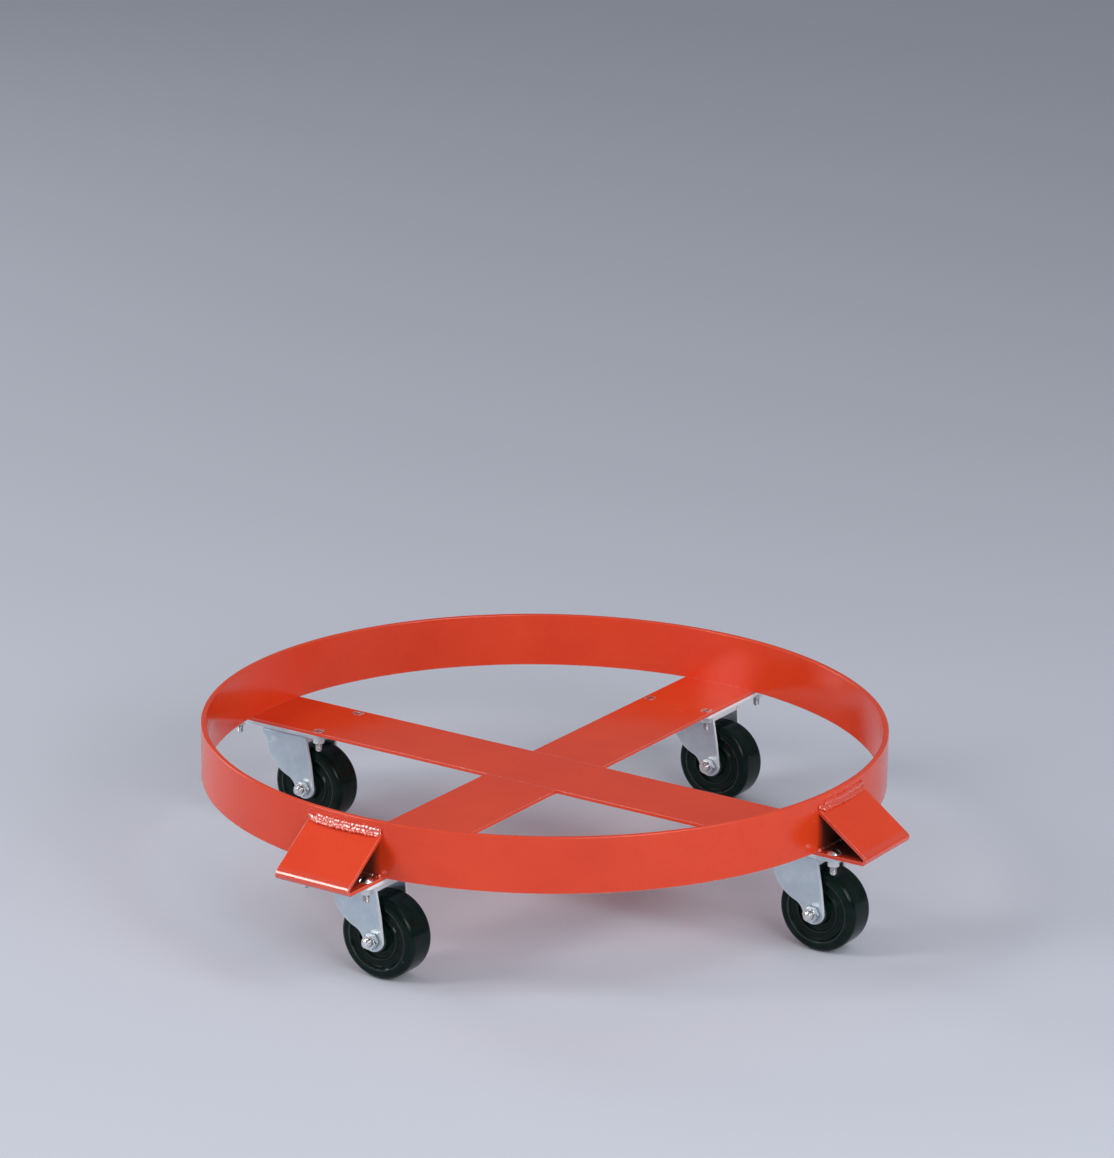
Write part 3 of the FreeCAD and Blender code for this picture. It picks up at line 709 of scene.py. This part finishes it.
@dataclass(frozen=True)
class ZincPlate(Finish):
    """Zinc plating on steel: bluish, faintly clouded, brighter along cut and worn edges, partly pale bare
    steel and partly a painted highlight.
    """

    dull: Colour = (0.50, 0.60, 0.67, 1.0)
    clear: Colour = (0.67, 0.76, 0.82, 1.0)
    # Pale edge colour: partly worn plating, partly a painted highlight.
    edge: Colour = (0.93, 0.95, 0.96, 1.0)
    # Painted shade in crevices, round nuts and where pieces meet.
    crevice_shade: Colour = (0.030, 0.034, 0.038, 1.0)
    metal: float = 0.80
    edge_metal: float = 0.1
    edge_range: Pair = (0.15, 0.7)
    edge_strength: float = 0.8
    gloss: Pair = (0.36, 0.54)
    # How pale cut edges are, a painted highlight on faces that face along X, and the tilts sideways and
    # upwards at which a face stops being one.
    cut: float = 0.0
    cut_sideways: Pair = (0.75, 0.45)
    cut_upwards: Pair = (0.95, 0.80)

    def cut_edge_sheen(self, mix: MaterialGraph) -> Socket:
        """Mask of painted highlight on the faces that face neither sideways nor up: the sheet's cut edges and
        turned-down lip.

        Args:
            mix: The material in the making.

        Returns:
            The mask.
        """
        facing = mix.split(mix.facing)
        sideways = mix.span(mix.size(facing["Y"]), *self.cut_sideways)
        upright = mix.span(mix.size(facing["Z"]), *self.cut_upwards)
        return mix.times(mix.times(sideways, upright), self.cut)

    def material(self) -> bpy.types.Material:
        """Mixes the plating.

        Returns:
            The material.
        """
        mix = self.begin()
        cloud = mix.effect(Effects.mottle(), scale=70.0, contrast=0.2)["Value"]
        grain = mix.effect(Effects.mottle(), scale=900.0, contrast=0.3)["Value"]
        edge = mix.effect(Effects.edge_wear(), radius=2.2 * MM, breakup=400.0, least=0.6)["Worn"]
        lines = mix.effect(Effects.scratches(), scale=38.0, width=0.006, share=0.5)["Mask"]
        stains = mix.effect(Effects.specks(), scale=160.0, share=0.12, size=0.5)["Mask"]
        crevice_shade_mask = mix.effect(Effects.crevice(), reach=3.2 * MM)["Mask"]
        tone = mix.weigh(cloud, grain, share=0.6)
        # Pale edges: worn edges that are partly a painted highlight, and a painted highlight on the cut edges
        # and the lip.
        bright = mix.larger(mix.times(edge, self.edge_strength), self.cut_edge_sheen(mix))
        colour = mix.blend(tone, self.dull, self.clear)
        colour = mix.cover(colour, self.dull, stains, strength=0.3)
        colour = mix.blend(bright, colour, self.edge)
        colour = mix.cover(colour, self.edge, lines, strength=0.4)
        # Painted shade in the crevices.
        colour = mix.cover(colour, self.crevice_shade, crevice_shade_mask, strength=0.8)
        height = mix.more(cloud, grain, share=0.4)
        return mix.finish({
            "Base Color": colour,
            "Metallic": mix.span(bright, *self.edge_range, self.metal, self.edge_metal),
            "Roughness": mix.between(tone, *reversed(self.gloss)),
            "Normal": mix.relief(height, depth=0.12 * MM, strength=0.25, ease=0.5 * MM),
        })


@dataclass(frozen=True)
class BallSteel(Finish):
    """Hard polished bearing steel with a film of grease."""

    slot: Slot = Slot.BALL
    steel: Colour = (0.58, 0.58, 0.57, 1.0)
    grease: Colour = (0.36, 0.31, 0.24, 1.0)
    gloss: Pair = (0.10, 0.34)

    def material(self) -> bpy.types.Material:
        """Mixes the steel.

        Returns:
            The material.
        """
        mix = self.begin()
        film = mix.effect(Effects.mottle(), scale=240.0, contrast=0.15)["Value"]
        return mix.finish({
            "Base Color": mix.blend(film, self.steel, self.grease),
            "Metallic": 1.0,
            "Roughness": mix.between(film, *self.gloss),
            "Normal": mix.relief(film, depth=0.05 * MM, strength=0.2, ease=0.1 * MM),
        })


@dataclass(frozen=True)
class MouldedRubber(Finish):
    """Hard black moulded wheel: satin skin, finely grained, scuffed and a little dusty."""

    slot: Slot = Slot.RUBBER
    black: Colour = (0.0016, 0.0084, 0.0060, 1.0)
    worn: Colour = (0.0048, 0.0150, 0.0122, 1.0)
    dust: Colour = (0.10, 0.11, 0.11, 1.0)
    gloss: Pair = (0.15, 0.25)
    dulled: float = 0.2
    shine: float = 0.13
    # The polish: its shine, the distances from the wheel's middle where the rim starts and is
    # fully polished, and how much of it the face and the rim get.
    polish: float = 2.3
    polish_roughness: float = 0.08
    rim: Pair = (13.9 * MM, 15.2 * MM)
    polish_range: Pair = (0.12, 1.0)

    def polished(self, mix: MaterialGraph) -> Socket:
        """Mask of the wheel's polished corners, most of all those of the rim.

        Args:
            mix: The material in the making.

        Returns:
            The mask.
        """
        ridge = mix.effect(Effects.edge_wear(), radius=3.2 * MM)["Edge"]
        half = CASTER_SPREAD / 2
        shifted = mix.plus(mix.size(mix.split(mix.where)["Y"]), half)
        offset = mix.minus(mix.calc("MODULO", shifted, CASTER_SPREAD), half)
        return mix.times(ridge, mix.span(mix.size(offset), *self.rim, *self.polish_range))

    def material(self) -> bpy.types.Material:
        """Mixes the moulding.

        Returns:
            The material.
        """
        mix = self.begin()
        cloud = mix.effect(Effects.mottle(), scale=90.0, contrast=0.2)["Value"]
        grain = mix.effect(Effects.mottle(), scale=1400.0, contrast=0.3)["Value"]
        edge = mix.effect(Effects.edge_wear(), radius=1.2 * MM, breakup=250.0, least=0.3)["Worn"]
        lines = mix.effect(Effects.scratches(), scale=45.0, width=0.005, share=0.62)["Mask"]
        specks = mix.effect(Effects.specks(), scale=260.0, share=0.05, size=0.3)["Mask"]
        colour = mix.blend(cloud, self.black, self.worn)
        colour = mix.cover(colour, self.worn, edge, strength=0.35)
        colour = mix.cover(colour, self.dust, lines, strength=0.12)
        colour = mix.cover(colour, self.dust, specks, strength=0.45)
        height = mix.more(grain, cloud, share=0.6)
        return mix.finish({
            "Base Color": colour,
            "Roughness": mix.more(mix.between(cloud, *self.gloss), specks, share=self.dulled),
            "Specular IOR Level": self.shine,
            "Coat Weight": self.polished(mix),
            "Coat IOR": self.polish,
            "Coat Roughness": self.polish_roughness,
            "Normal": mix.relief(height, depth=0.1 * MM, strength=0.22, ease=1.0 * MM),
        })


@dataclass(frozen=True)
class Nylon(Finish):
    """Natural nylon of the wheel bush."""

    slot: Slot = Slot.NYLON
    pale: Colour = (0.62, 0.60, 0.53, 1.0)
    aged: Colour = (0.50, 0.46, 0.38, 1.0)
    gloss: Pair = (0.38, 0.52)

    def material(self) -> bpy.types.Material:
        """Mixes the nylon.

        Returns:
            The material.
        """
        mix = self.begin()
        cloud = mix.effect(Effects.mottle(), scale=180.0, contrast=0.25)["Value"]
        edge = mix.effect(Effects.edge_wear(), radius=0.6 * MM, breakup=400.0, least=0.3)["Worn"]
        return mix.finish({
            "Base Color": mix.blend(edge, mix.blend(cloud, self.pale, self.aged), self.pale),
            "Roughness": mix.between(cloud, *self.gloss),
            "Normal": mix.relief(cloud, depth=0.1 * MM, strength=0.2, ease=0.4 * MM),
        })


@dataclass(frozen=True)
class PaperFloor:
    """Seamless studio paper, pale and almost even."""

    pale: Colour = (0.635, 0.664, 0.745, 1.0)
    shade: Colour = (0.605, 0.634, 0.712, 1.0)
    cloud_scale: float = 1.3
    roughness: float = 0.75
    shine: float = 0.25

    def material(self) -> bpy.types.Material:
        """Mixes the paper.

        Returns:
            The material.
        """
        mix = MaterialGraph("studio_paper")
        cloud = mix.noise(mix.where, self.cloud_scale, detail=3.0)
        return mix.finish({
            "Base Color": mix.blend(cloud, self.shade, self.pale),
            "Roughness": self.roughness,
            "Specular IOR Level": self.shine,
        })


@dataclass
class Paintbox:
    """All finishes, each mixed once."""

    finishes: tuple[Finish, ...] = (
        EnamelPaint(),
        ZincPlate(Slot.SHEET, cut=0.85),
        ZincPlate(
            Slot.BRIGHT,
            dull=(0.55, 0.58, 0.60, 1.0),
            clear=(0.95, 0.96, 0.96, 1.0),
            metal=1.0,
            edge_metal=0.6,
            gloss=(0.15, 0.28),
        ),
        BallSteel(),
        MouldedRubber(),
        Nylon(),
    )
    flowed: EnamelPaint = EnamelPaint(
        title="flowed", gloss=(0.08, 0.16), wear=0.1, ease=0.2 * MM, skin=2.3, flow=1.0)
    mixed: dict[Any, bpy.types.Material] = field(default_factory=dict)

    def mix(self) -> None:
        """Makes the material of every finish."""
        self.mixed = {finish.slot: finish.material() for finish in self.finishes}
        self.mixed[self.flowed] = self.flowed.material()

    def dress(self, item: Piece, finish: Slot | Finish) -> None:
        """Puts a finish on every slot of a piece.

        Args:
            item: The piece.
            finish: The slot whose finish it gets, or a finish of its own.
        """
        if not item.material_slots:
            item.data.materials.append(self.mixed[finish])
        for place in item.material_slots:
            place.material = self.mixed[finish]


@dataclass
class WeldPass:
    """One pass of weld: a row of uneven frozen puddles, laid round the band or along a line.

    Thick, tall and long are half a puddle's size off the band, upwards and along the weld. The pass
    reaches from one share of the half width of a bar to another.
    """

    height: float
    thick: float
    tall: float
    long: float
    pitch: float
    radius: float = 0.0
    tilt: float = 0.0
    reach: Pair = (-0.97, 0.97)
    uneven: float = 0.22
    tail_from: float = -0.2
    tail_size: float = 0.78

    def puddle(self) -> Piece:
        """Shapes one frozen puddle of weld, flattened and drawn out behind.

        Returns:
            The puddle, at the origin.
        """
        item = Bench.ball()
        Bench.scale(self.thick, self.long, self.tall)
        Bench.pick(item, lambda place: place.y < self.long * self.tail_from)
        Bench.scale(self.tail_size, 1.0, self.tail_size)
        bpy.ops.object.mode_set(mode="OBJECT")
        return item

    def lay(self, places: list[Matrix], draw: random.Random) -> Piece:
        """Copies the puddle to each place, no two alike, and joins the row.

        Args:
            places: Where the puddles go.
            draw: Source of their unevenness.

        Returns:
            The row.
        """
        pattern = self.puddle()
        extents = (self.thick, self.long, self.tall)
        lean = Matrix.Rotation(math.radians(-self.tilt), 4, "Y")
        row = []
        for number, place in enumerate(places):
            size = [1 + draw.uniform(-self.uneven, self.uneven) for _ in extents]
            shift = [extent * draw.uniform(-self.uneven, self.uneven) for extent in extents]
            own = place @ lean @ Matrix.Translation(shift) @ Matrix.Diagonal((*size, 1.0))
            row.append(Bench.copy(pattern, f"puddle_{number}", own))
        bpy.data.objects.remove(pattern)
        return Bench.join("weld_row", row)

    def round_band(self, where: Where, half: float, draw: random.Random) -> Piece:
        """Lays the pass along an arc about the middle of the band.

        Args:
            where: The bar end that the arc belongs to.
            half: Angle that half the width of the bar takes up, in radians.
            draw: Source of the unevenness.

        Returns:
            The row of puddles.
        """
        start, end = (share * half for share in self.reach)
        step = self.pitch / self.radius
        spot = Matrix.Translation((self.radius, 0, self.height))
        turns = [start + step * number for number in range(int((end - start) / step) + 1)]
        return self.lay([where.turn @ Matrix.Rotation(turn, 4, "Z") @ spot for turn in turns], draw)

    def along_line(self, side: float, width: float, draw: random.Random) -> Piece:
        """Lays the pass along X, at a distance along Y.

        Args:
            side: The distance along Y in metres.
            width: Width of the bar in metres.
            draw: Source of the unevenness.

        Returns:
            The row of puddles.
        """
        count = int(width * self.reach[1] / self.pitch)
        quarter = Matrix.Rotation(math.pi / 2, 4, "Z")
        steps = [self.pitch * (number - (count - 1) / 2) for number in range(count)]
        return self.lay([Matrix.Translation((step, side, self.height)) @ quarter for step in steps], draw)


@dataclass
class WeldedFrame:
    """Band, bars and the welds between them."""

    paintbox: Paintbox
    smooth_angle: float = 60.0
    # How finely the beads are melted together, and the lumps on them.
    voxel: float = 0.40 * MM
    lump: float = 0.25 * MM
    lump_size: float = 2.6 * MM
    weld_seed: int = 11
    # Spatter: drops at each bar end, their sizes, and how far they flew to either side in degrees.
    spatter_seed: int = 7
    spatter_count: int = 16
    spatter_size: Pair = (0.35 * MM, 0.8 * MM)
    spatter_turn: float = 9.5
    # Beyond this turn a drop is free of the gusset, and may sit this far below the weld's top.
    free_turn: float = 7.6
    free_drop: float = 30 * MM
    weld_clearance: float = 0.4 * MM
    rim_clearance: float = 1.5 * MM
    # A drop of radius one: its thickness, and the height below which it sags and how much.
    drop_thick: float = 0.6
    drop_sag_from: float = -0.2
    drop_sag: Pair = (0.9, 1.25)

    def dress(self) -> None:
        """Paints the CAD parts of the frame."""
        for name in ("ring_band", "band_seam_weld", "cross_bar_long", "cross_bar_front", "cross_bar_back"):
            self.paintbox.dress(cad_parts[name], Slot.PAINT)
            LOG.info("painted %s", name)

    def melt(self, name: str, rows: list[Piece], node: str) -> None:
        """Melts rows of puddles into one lumpy bead that stands for a CAD weld.

        Args:
            name: The finished piece's name.
            rows: The rows of puddles, in place.
            node: The CAD weld that the piece stands for.
        """
        item = Bench.join(name, rows)
        Bench.apply(item, "REMESH", mode="VOXEL", voxel_size=self.voxel)
        Bench.apply(item, "SMOOTH", factor=0.5, iterations=2)
        cloud = bpy.data.textures.new(f"{name}_lumps", "CLOUDS")
        cloud.noise_scale = self.lump_size
        cloud.noise_depth = 1
        Bench.apply(item, "DISPLACE", texture=cloud, texture_coords="LOCAL", strength=self.lump,
                    mid_level=0.5)
        bpy.data.textures.remove(cloud)
        Bench.smooth(item, self.smooth_angle)
        self.paintbox.dress(item, self.paintbox.flowed)
        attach(item, "frame")
        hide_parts(node)
        LOG.info("%s: %d faces", name, len(item.data.polygons))

    def build(self) -> None:
        """Lays the weld beads and the spatter round them."""
        draw = random.Random(self.weld_seed)
        half = math.asin(BAR_WIDTH / 2 / BAND_OUT)
        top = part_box("gusset_welds")[1].z
        upper = WeldPass(
            radius=BAND_OUT + 0.8 * MM, height=top - 1.0 * MM, thick=1.1 * MM, tall=2.0 * MM,
            long=2.9 * MM, pitch=3.7 * MM, tilt=32.0, reach=(-0.70, 1.0))
        middle = WeldPass(
            radius=BAND_OUT + 1.4 * MM, height=top - 3.8 * MM, thick=1.0 * MM, tall=2.6 * MM,
            long=2.4 * MM, pitch=2.6 * MM, tilt=26.0, reach=(-0.96, 0.97))
        lower = WeldPass(
            radius=BAND_OUT + 3.0 * MM, height=top - 6.0 * MM, thick=1.3 * MM, tall=1.9 * MM,
            long=2.7 * MM, pitch=3.7 * MM, tilt=34.0, reach=(-0.82, 1.0))
        rows = [bead.round_band(where, half, draw) for where in Where for bead in (upper, middle, lower)]
        self.melt("gusset_weld_beads", rows, "gusset_welds")
        root = WeldPass(
            radius=BAND_OUT + 1.1 * MM, height=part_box("band_root_welds")[0].z + 1.1 * MM,
            thick=2.2 * MM, tall=2.2 * MM, long=2.0 * MM, pitch=2.1 * MM)
        rows = [root.round_band(where, half, draw) for where in Where]
        self.melt("root_weld_beads", rows, "band_root_welds")
        butt = WeldPass(
            height=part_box("centre_welds")[1].z - 0.2 * MM,
            thick=3.6 * MM, tall=1.6 * MM, long=2.8 * MM, pitch=2.6 * MM)
        rows = [butt.along_line(side * BAR_WIDTH / 2, BAR_WIDTH, draw) for side in (-1, 1)]
        self.melt("centre_weld_beads", rows, "centre_welds")
        self.spatter()

    def drop(self) -> Piece:
        """Shapes one drop of spatter, flat against the band and sagging.

        Returns:
            The drop, at the origin.
        """
        item = Bench.ball()
        Bench.scale(self.drop_thick, 1.0, 1.0)
        Bench.pick(item, lambda place: place.z < self.drop_sag_from)
        Bench.scale(1.0, *self.drop_sag)
        bpy.ops.object.mode_set(mode="OBJECT")
        return item

    def spatter(self) -> None:
        """Sticks small drops of spatter to the band beside the gusset welds."""
        draw = random.Random(self.spatter_seed)
        weld_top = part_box("gusset_welds")[1].z
        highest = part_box("ring_band")[1].z - self.rim_clearance
        drop = self.drop()
        drops = []
        for where in Where:
            for number in range(self.spatter_count):
                size = draw.uniform(*self.spatter_size)
                angle = draw.uniform(-self.spatter_turn, self.spatter_turn)
                free = abs(angle) > self.free_turn
                lowest = weld_top - self.free_drop if free else weld_top + self.weld_clearance
                height = draw.uniform(lowest, highest)
                place = (where.turn @ Matrix.Rotation(math.radians(angle), 4, "Z")
                         @ Matrix.Translation((BAND_OUT, 0, height)) @ Matrix.Scale(size, 4))
                drops.append(Bench.copy(drop, f"drop_{where.label}_{number}", place))
        bpy.data.objects.remove(drop)
        item = Bench.join("weld_spatter", drops)
        Bench.smooth(item, self.smooth_angle)
        self.paintbox.dress(item, Slot.PAINT)
        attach(item, "frame")
        LOG.info("weld_spatter: %d faces", len(item.data.polygons))


@dataclass
class ScrewThread:
    """A rolled thread, tip at zero and running up Z.

    The crest is a share of the pitch. The tip is turned off below the chamfer, and its nose, the
    lowest share of the chamfer, once more.
    """

    diameter: float
    pitch: float
    depth: float
    length: float
    steps: int = 20
    spare_turns: int = 3
    crest: float = 0.25
    chamfer: float = 0.9 * MM
    tip_size: float = 0.84
    nose_share: float = 0.25
    nose_size: float = 0.9

    def tooth(self) -> Piece:
        """Draws the open outline of one tooth.

        Returns:
            The outline, a pitch below the tip.
        """
        root = self.diameter / 2 - self.depth
        Bench.clear()
        bpy.ops.mesh.primitive_plane_add(size=1.0, rotation=(math.pi / 2, 0, 0))
        item = bpy.context.object
        Bench.take(item)
        bpy.ops.object.transform_apply(location=True, rotation=True, scale=True)
        Bench.edit(item)
        Bench.scale(self.depth, 1, self.pitch)
        Bench.pick(item, lambda place: place.x > 0)
        Bench.scale(1, 1, self.crest)
        bpy.ops.mesh.select_all(action="SELECT")
        bpy.ops.mesh.delete(type="ONLY_FACE")
        Bench.pick(item, lambda place: place.x < 0)
        bpy.ops.mesh.delete(type="EDGE_FACE")
        bpy.ops.mesh.select_all(action="SELECT")
        bpy.ops.transform.translate(value=(root + self.depth / 2, 0, -self.pitch))
        bpy.ops.object.mode_set(mode="OBJECT")
        return item

    def build(self) -> Piece:
        """Screws the tooth round the axis, trims both ends and turns off the tip.

        Returns:
            The thread.
        """
        item = self.tooth()
        turns = int(self.length / self.pitch) + self.spare_turns
        Bench.apply(item, "SCREW", axis="Z", angle=2 * math.pi, screw_offset=self.pitch, iterations=turns,
                    steps=self.steps, render_steps=self.steps, use_merge_vertices=True,
                    merge_threshold=SAME_POINT)
        Bench.edit(item)
        bpy.ops.mesh.remove_doubles(threshold=SAME_POINT)
        bpy.ops.mesh.bisect(plane_co=(0, 0, 0), plane_no=(0, 0, 1), use_fill=True, clear_inner=True)
        bpy.ops.mesh.select_all(action="SELECT")
        bpy.ops.mesh.bisect(plane_co=(0, 0, self.length), plane_no=(0, 0, 1), use_fill=True, clear_outer=True)
        Bench.pick(item, lambda place: place.z < self.chamfer)
        Bench.scale(self.tip_size, self.tip_size, 1)
        Bench.pick(item, lambda place: place.z < self.chamfer * self.nose_share)
        Bench.scale(self.nose_size, self.nose_size, 1)
        bpy.ops.mesh.select_all(action="SELECT")
        bpy.ops.mesh.normals_make_consistent(inside=False)
        bpy.ops.object.mode_set(mode="OBJECT")
        return item


@dataclass
class SwivelCaster:
    """One caster: its CAD parts dressed, and its bolts given real threads."""

    where: Where
    paintbox: Paintbox
    plate_thread: Piece
    axle_thread: Piece
    bolt_spacing: Pair = (92.1 * MM, 63.5 * MM)
    overlap: float = 1.0 * MM
    smooth_angle: float = 35.0
    finish: dict[str, Slot] = field(default_factory=lambda: {
        "top_plate": Slot.SHEET,
        "fork": Slot.SHEET,
        "lower_race": Slot.SHEET,
        "king_pin": Slot.BRIGHT,
        "mount_nuts": Slot.BRIGHT,
        "axle_nut": Slot.BRIGHT,
        "axle_sleeve": Slot.BRIGHT,
        "upper_balls": Slot.BALL,
        "lower_balls": Slot.BALL,
        "wheel": Slot.RUBBER,
        "wheel_bush": Slot.NYLON,
    })

    def node(self, part: str) -> str:
        """Full name of one of this caster's parts."""
        return f"caster_{self.where.label}_{part}"

    def dress(self) -> None:
        """Gives every CAD part that stays its finish."""
        for part, slot in self.finish.items():
            self.paintbox.dress(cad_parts[self.node(part)], slot)
        LOG.info("dressed caster %s", self.where.label)

    def trimmed(self, part: str, name: str, point: Triple, normal: Triple) -> Piece:
        """Copies a CAD bolt and cuts off its plain end.

        Args:
            part: The bolt's part name.
            name: Name of the copy.
            point: A point on the cut.
            normal: Direction of what is kept.

        Returns:
            The copy, closed at the cut.
        """
        item = Bench.copy(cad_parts[self.node(part)], name, Matrix.Identity(4))
        Bench.edit(item)
        bpy.ops.mesh.customdata_custom_splitnormals_clear()
        bpy.ops.mesh.remove_doubles(threshold=SAME_POINT)
        bpy.ops.mesh.select_all(action="SELECT")
        bpy.ops.mesh.bisect(plane_co=point, plane_no=normal, use_fill=True, clear_inner=True)
        bpy.ops.object.mode_set(mode="OBJECT")
        return item

    def finish_bolt(self, name: str, pieces: list[Piece], node: str, body: str) -> None:
        """Joins a trimmed bolt with its threads, dresses it and lets it stand for the CAD bolt.

        Args:
            name: The finished piece's name.
            pieces: The trimmed bolt and its threads, in place.
            node: The CAD bolt that the piece stands for.
            body: The body that the piece rides on.
        """
        item = Bench.join(name, pieces)
        Bench.smooth(item, self.smooth_angle)
        self.paintbox.dress(item, Slot.BRIGHT)
        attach(item, body)
        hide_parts(node)
        LOG.info("%s: %d faces", name, len(item.data.polygons))

    def plate_bolts(self) -> None:
        """Makes the four threaded bolts of the top plate."""
        low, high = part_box(self.node("king_pin"))
        centre = (low + high) / 2
        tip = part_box(self.node("mount_bolts"))[0].z
        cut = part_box(self.node("mount_nuts"))[0].z + self.overlap
        name = self.node("plate_bolts")
        pieces = [self.trimmed("mount_bolts", name, (0, 0, cut), (0, 0, 1))]
        for side in (1, -1):
            for other in (1, -1):
                offset = Vector((side * self.bolt_spacing[0] / 2, other * self.bolt_spacing[1] / 2, 0))
                spot = Matrix.Translation(self.where.turn @ offset + Vector((centre.x, centre.y, tip)))
                pieces.append(Bench.copy(self.plate_thread, f"{name}_{side}_{other}", spot))
        self.finish_bolt(name, pieces, self.node("mount_bolts"), "frame")

    def axle_screw(self) -> None:
        """Makes the threaded axle bolt."""
        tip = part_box(self.node("axle_bolt"))[0].y
        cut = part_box(self.node("axle_nut"))[0].y + self.overlap
        low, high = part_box(self.node("axle_sleeve"))
        axle = (low + high) / 2
        name = self.node("axle_screw")
        spot = Matrix.Translation((axle.x, tip, axle.z)) @ Matrix.Rotation(-math.pi / 2, 4, "X")
        pieces = [self.trimmed("axle_bolt", name, (0, cut, 0), (0, 1, 0)),
                  Bench.copy(self.axle_thread, f"{name}_thread", spot)]
        self.finish_bolt(name, pieces, self.node("axle_bolt"), f"caster_{self.where.label}_swivel")

    def build(self) -> None:
        """Makes the pieces that stand for the CAD bolts."""
        self.plate_bolts()
        self.axle_screw()


@dataclass(frozen=True)
class Softbox:
    """A soft lamp that points at the trolley, with the width and height of its face in metres."""

    name: str
    place: Triple
    size: Pair
    watts: float
    tint: Triple = (0.98, 0.99, 1.0)
    aim: Triple = (0.0, 0.0, 0.1)

    def hang(self) -> None:
        """Hangs the lamp."""
        data = bpy.data.lights.new(self.name, "AREA")
        data.shape = "RECTANGLE"
        data.size, data.size_y = self.size
        data.energy = self.watts
        data.color = self.tint
        item = bpy.data.objects.new(self.name, data)
        item.location = self.place
        way = Vector(self.aim) - Vector(self.place)
        item.rotation_euler = way.to_track_quat("-Z", "Y").to_euler()
        bpy.context.scene.collection.objects.link(item)


@dataclass
class Studio:
    """Floor, soft light and the camera."""

    camera_place: Triple = (2.19006, -3.34721, 1.52856)
    camera_turn: float = 33.07
    camera_tilt: float = 72.75
    camera_roll: float = 0.91
    lens: float = 144.24
    sensor: float = 36.0
    floor_radius: float = 14.0
    floor_corners: int = 96
    floor_gap: float = 0.2 * MM
    ceiling: Colour = (0.31, 0.325, 0.355, 1.0)
    wall: Colour = (0.13, 0.135, 0.145, 1.0)
    softboxes: tuple[Softbox, ...] = (
        Softbox("key_softbox", (-1.67, -2.21, 1.70), (0.9, 1.9), watts=42.0, tint=(1.0, 0.985, 0.96)),
        Softbox("fill_softbox", (2.65, -1.66, 1.63), (1.6, 1.2), watts=43.0),
        Softbox("side_softbox", (2.36, -0.17, 2.23), (0.9, 2.6), watts=28.0),
        Softbox("back_softbox", (-4.33, 0.25, 1.55), (1.8, 1.6), watts=42.0),
    )

    def floor(self) -> None:
        """Lays the round paper floor just under the wheels."""
        Bench.clear()
        bpy.ops.mesh.primitive_circle_add(
            vertices=self.floor_corners, radius=self.floor_radius, fill_type="NGON",
            location=(0, 0, CAD_BOX[0].z - self.floor_gap))
        item = bpy.context.object
        item.name = "studio_floor"
        item.data.materials.append(PaperFloor().material())

    def light(self) -> None:
        """Sets the room, dim at its walls and pale overhead, and the softboxes."""
        world = bpy.data.worlds.new("studio_air")
        world.use_nodes = True
        graph = Graph(world.node_tree)
        way = graph.split(graph.add("ShaderNodeTexCoord").outputs["Generated"])
        air = graph.blend(graph.span(way["Z"], 0.0, 1.0), self.wall, self.ceiling)
        graph.feed(world.node_tree.nodes["Background"].inputs["Color"], air)
        bpy.context.scene.world = world
        for softbox in self.softboxes:
            softbox.hang()

    def camera(self) -> None:
        """Places the camera."""
        data = bpy.data.cameras.new("camera")
        data.sensor_width = self.sensor
        data.lens = self.lens
        item = bpy.data.objects.new("camera", data)
        turn = (Matrix.Rotation(math.radians(self.camera_turn), 4, "Z")
                @ Matrix.Rotation(math.radians(self.camera_tilt), 4, "X")
                @ Matrix.Rotation(math.radians(self.camera_roll), 4, "Z"))
        item.matrix_world = Matrix.Translation(self.camera_place) @ turn
        bpy.context.scene.collection.objects.link(item)
        bpy.context.scene.camera = item

    def build(self) -> None:
        """Sets up everything round the object."""
        bpy.context.scene.view_settings.view_transform = "Standard"
        self.camera()
        self.floor()
        self.light()


def make_casters(paintbox: Paintbox) -> None:
    """Cuts the two threads once and finishes all four casters with copies of them.

    Args:
        paintbox: The mixed finishes.
    """
    def reach(bolt: str, nut: str, axis: int, bite: float = 1.5 * MM) -> float:
        """Length of a bolt's threaded end, from its tip to some way into the nut."""
        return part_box(nut)[0][axis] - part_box(bolt)[0][axis] + bite

    plate = ScrewThread(
        diameter=6.0 * MM, pitch=1.0 * MM, depth=0.55 * MM,
        length=reach("caster_front_mount_bolts", "caster_front_mount_nuts", axis=2)).build()
    axle = ScrewThread(
        diameter=7.94 * MM, pitch=1.41 * MM, depth=0.70 * MM, steps=24,
        length=reach("caster_front_axle_bolt", "caster_front_axle_nut", axis=1)).build()
    for where in Where:
        caster = SwivelCaster(where, paintbox, plate, axle)
        caster.dress()
        caster.build()
    bpy.data.objects.remove(plate)
    bpy.data.objects.remove(axle)


def main() -> None:
    """Builds the scene in order."""
    logging.basicConfig(level=logging.INFO, format="%(message)s")
    Studio().build()
    paintbox = Paintbox()
    paintbox.mix()
    welded = WeldedFrame(paintbox)
    welded.dress()
    welded.build()
    make_casters(paintbox)


if __name__ == "__main__":
    main()
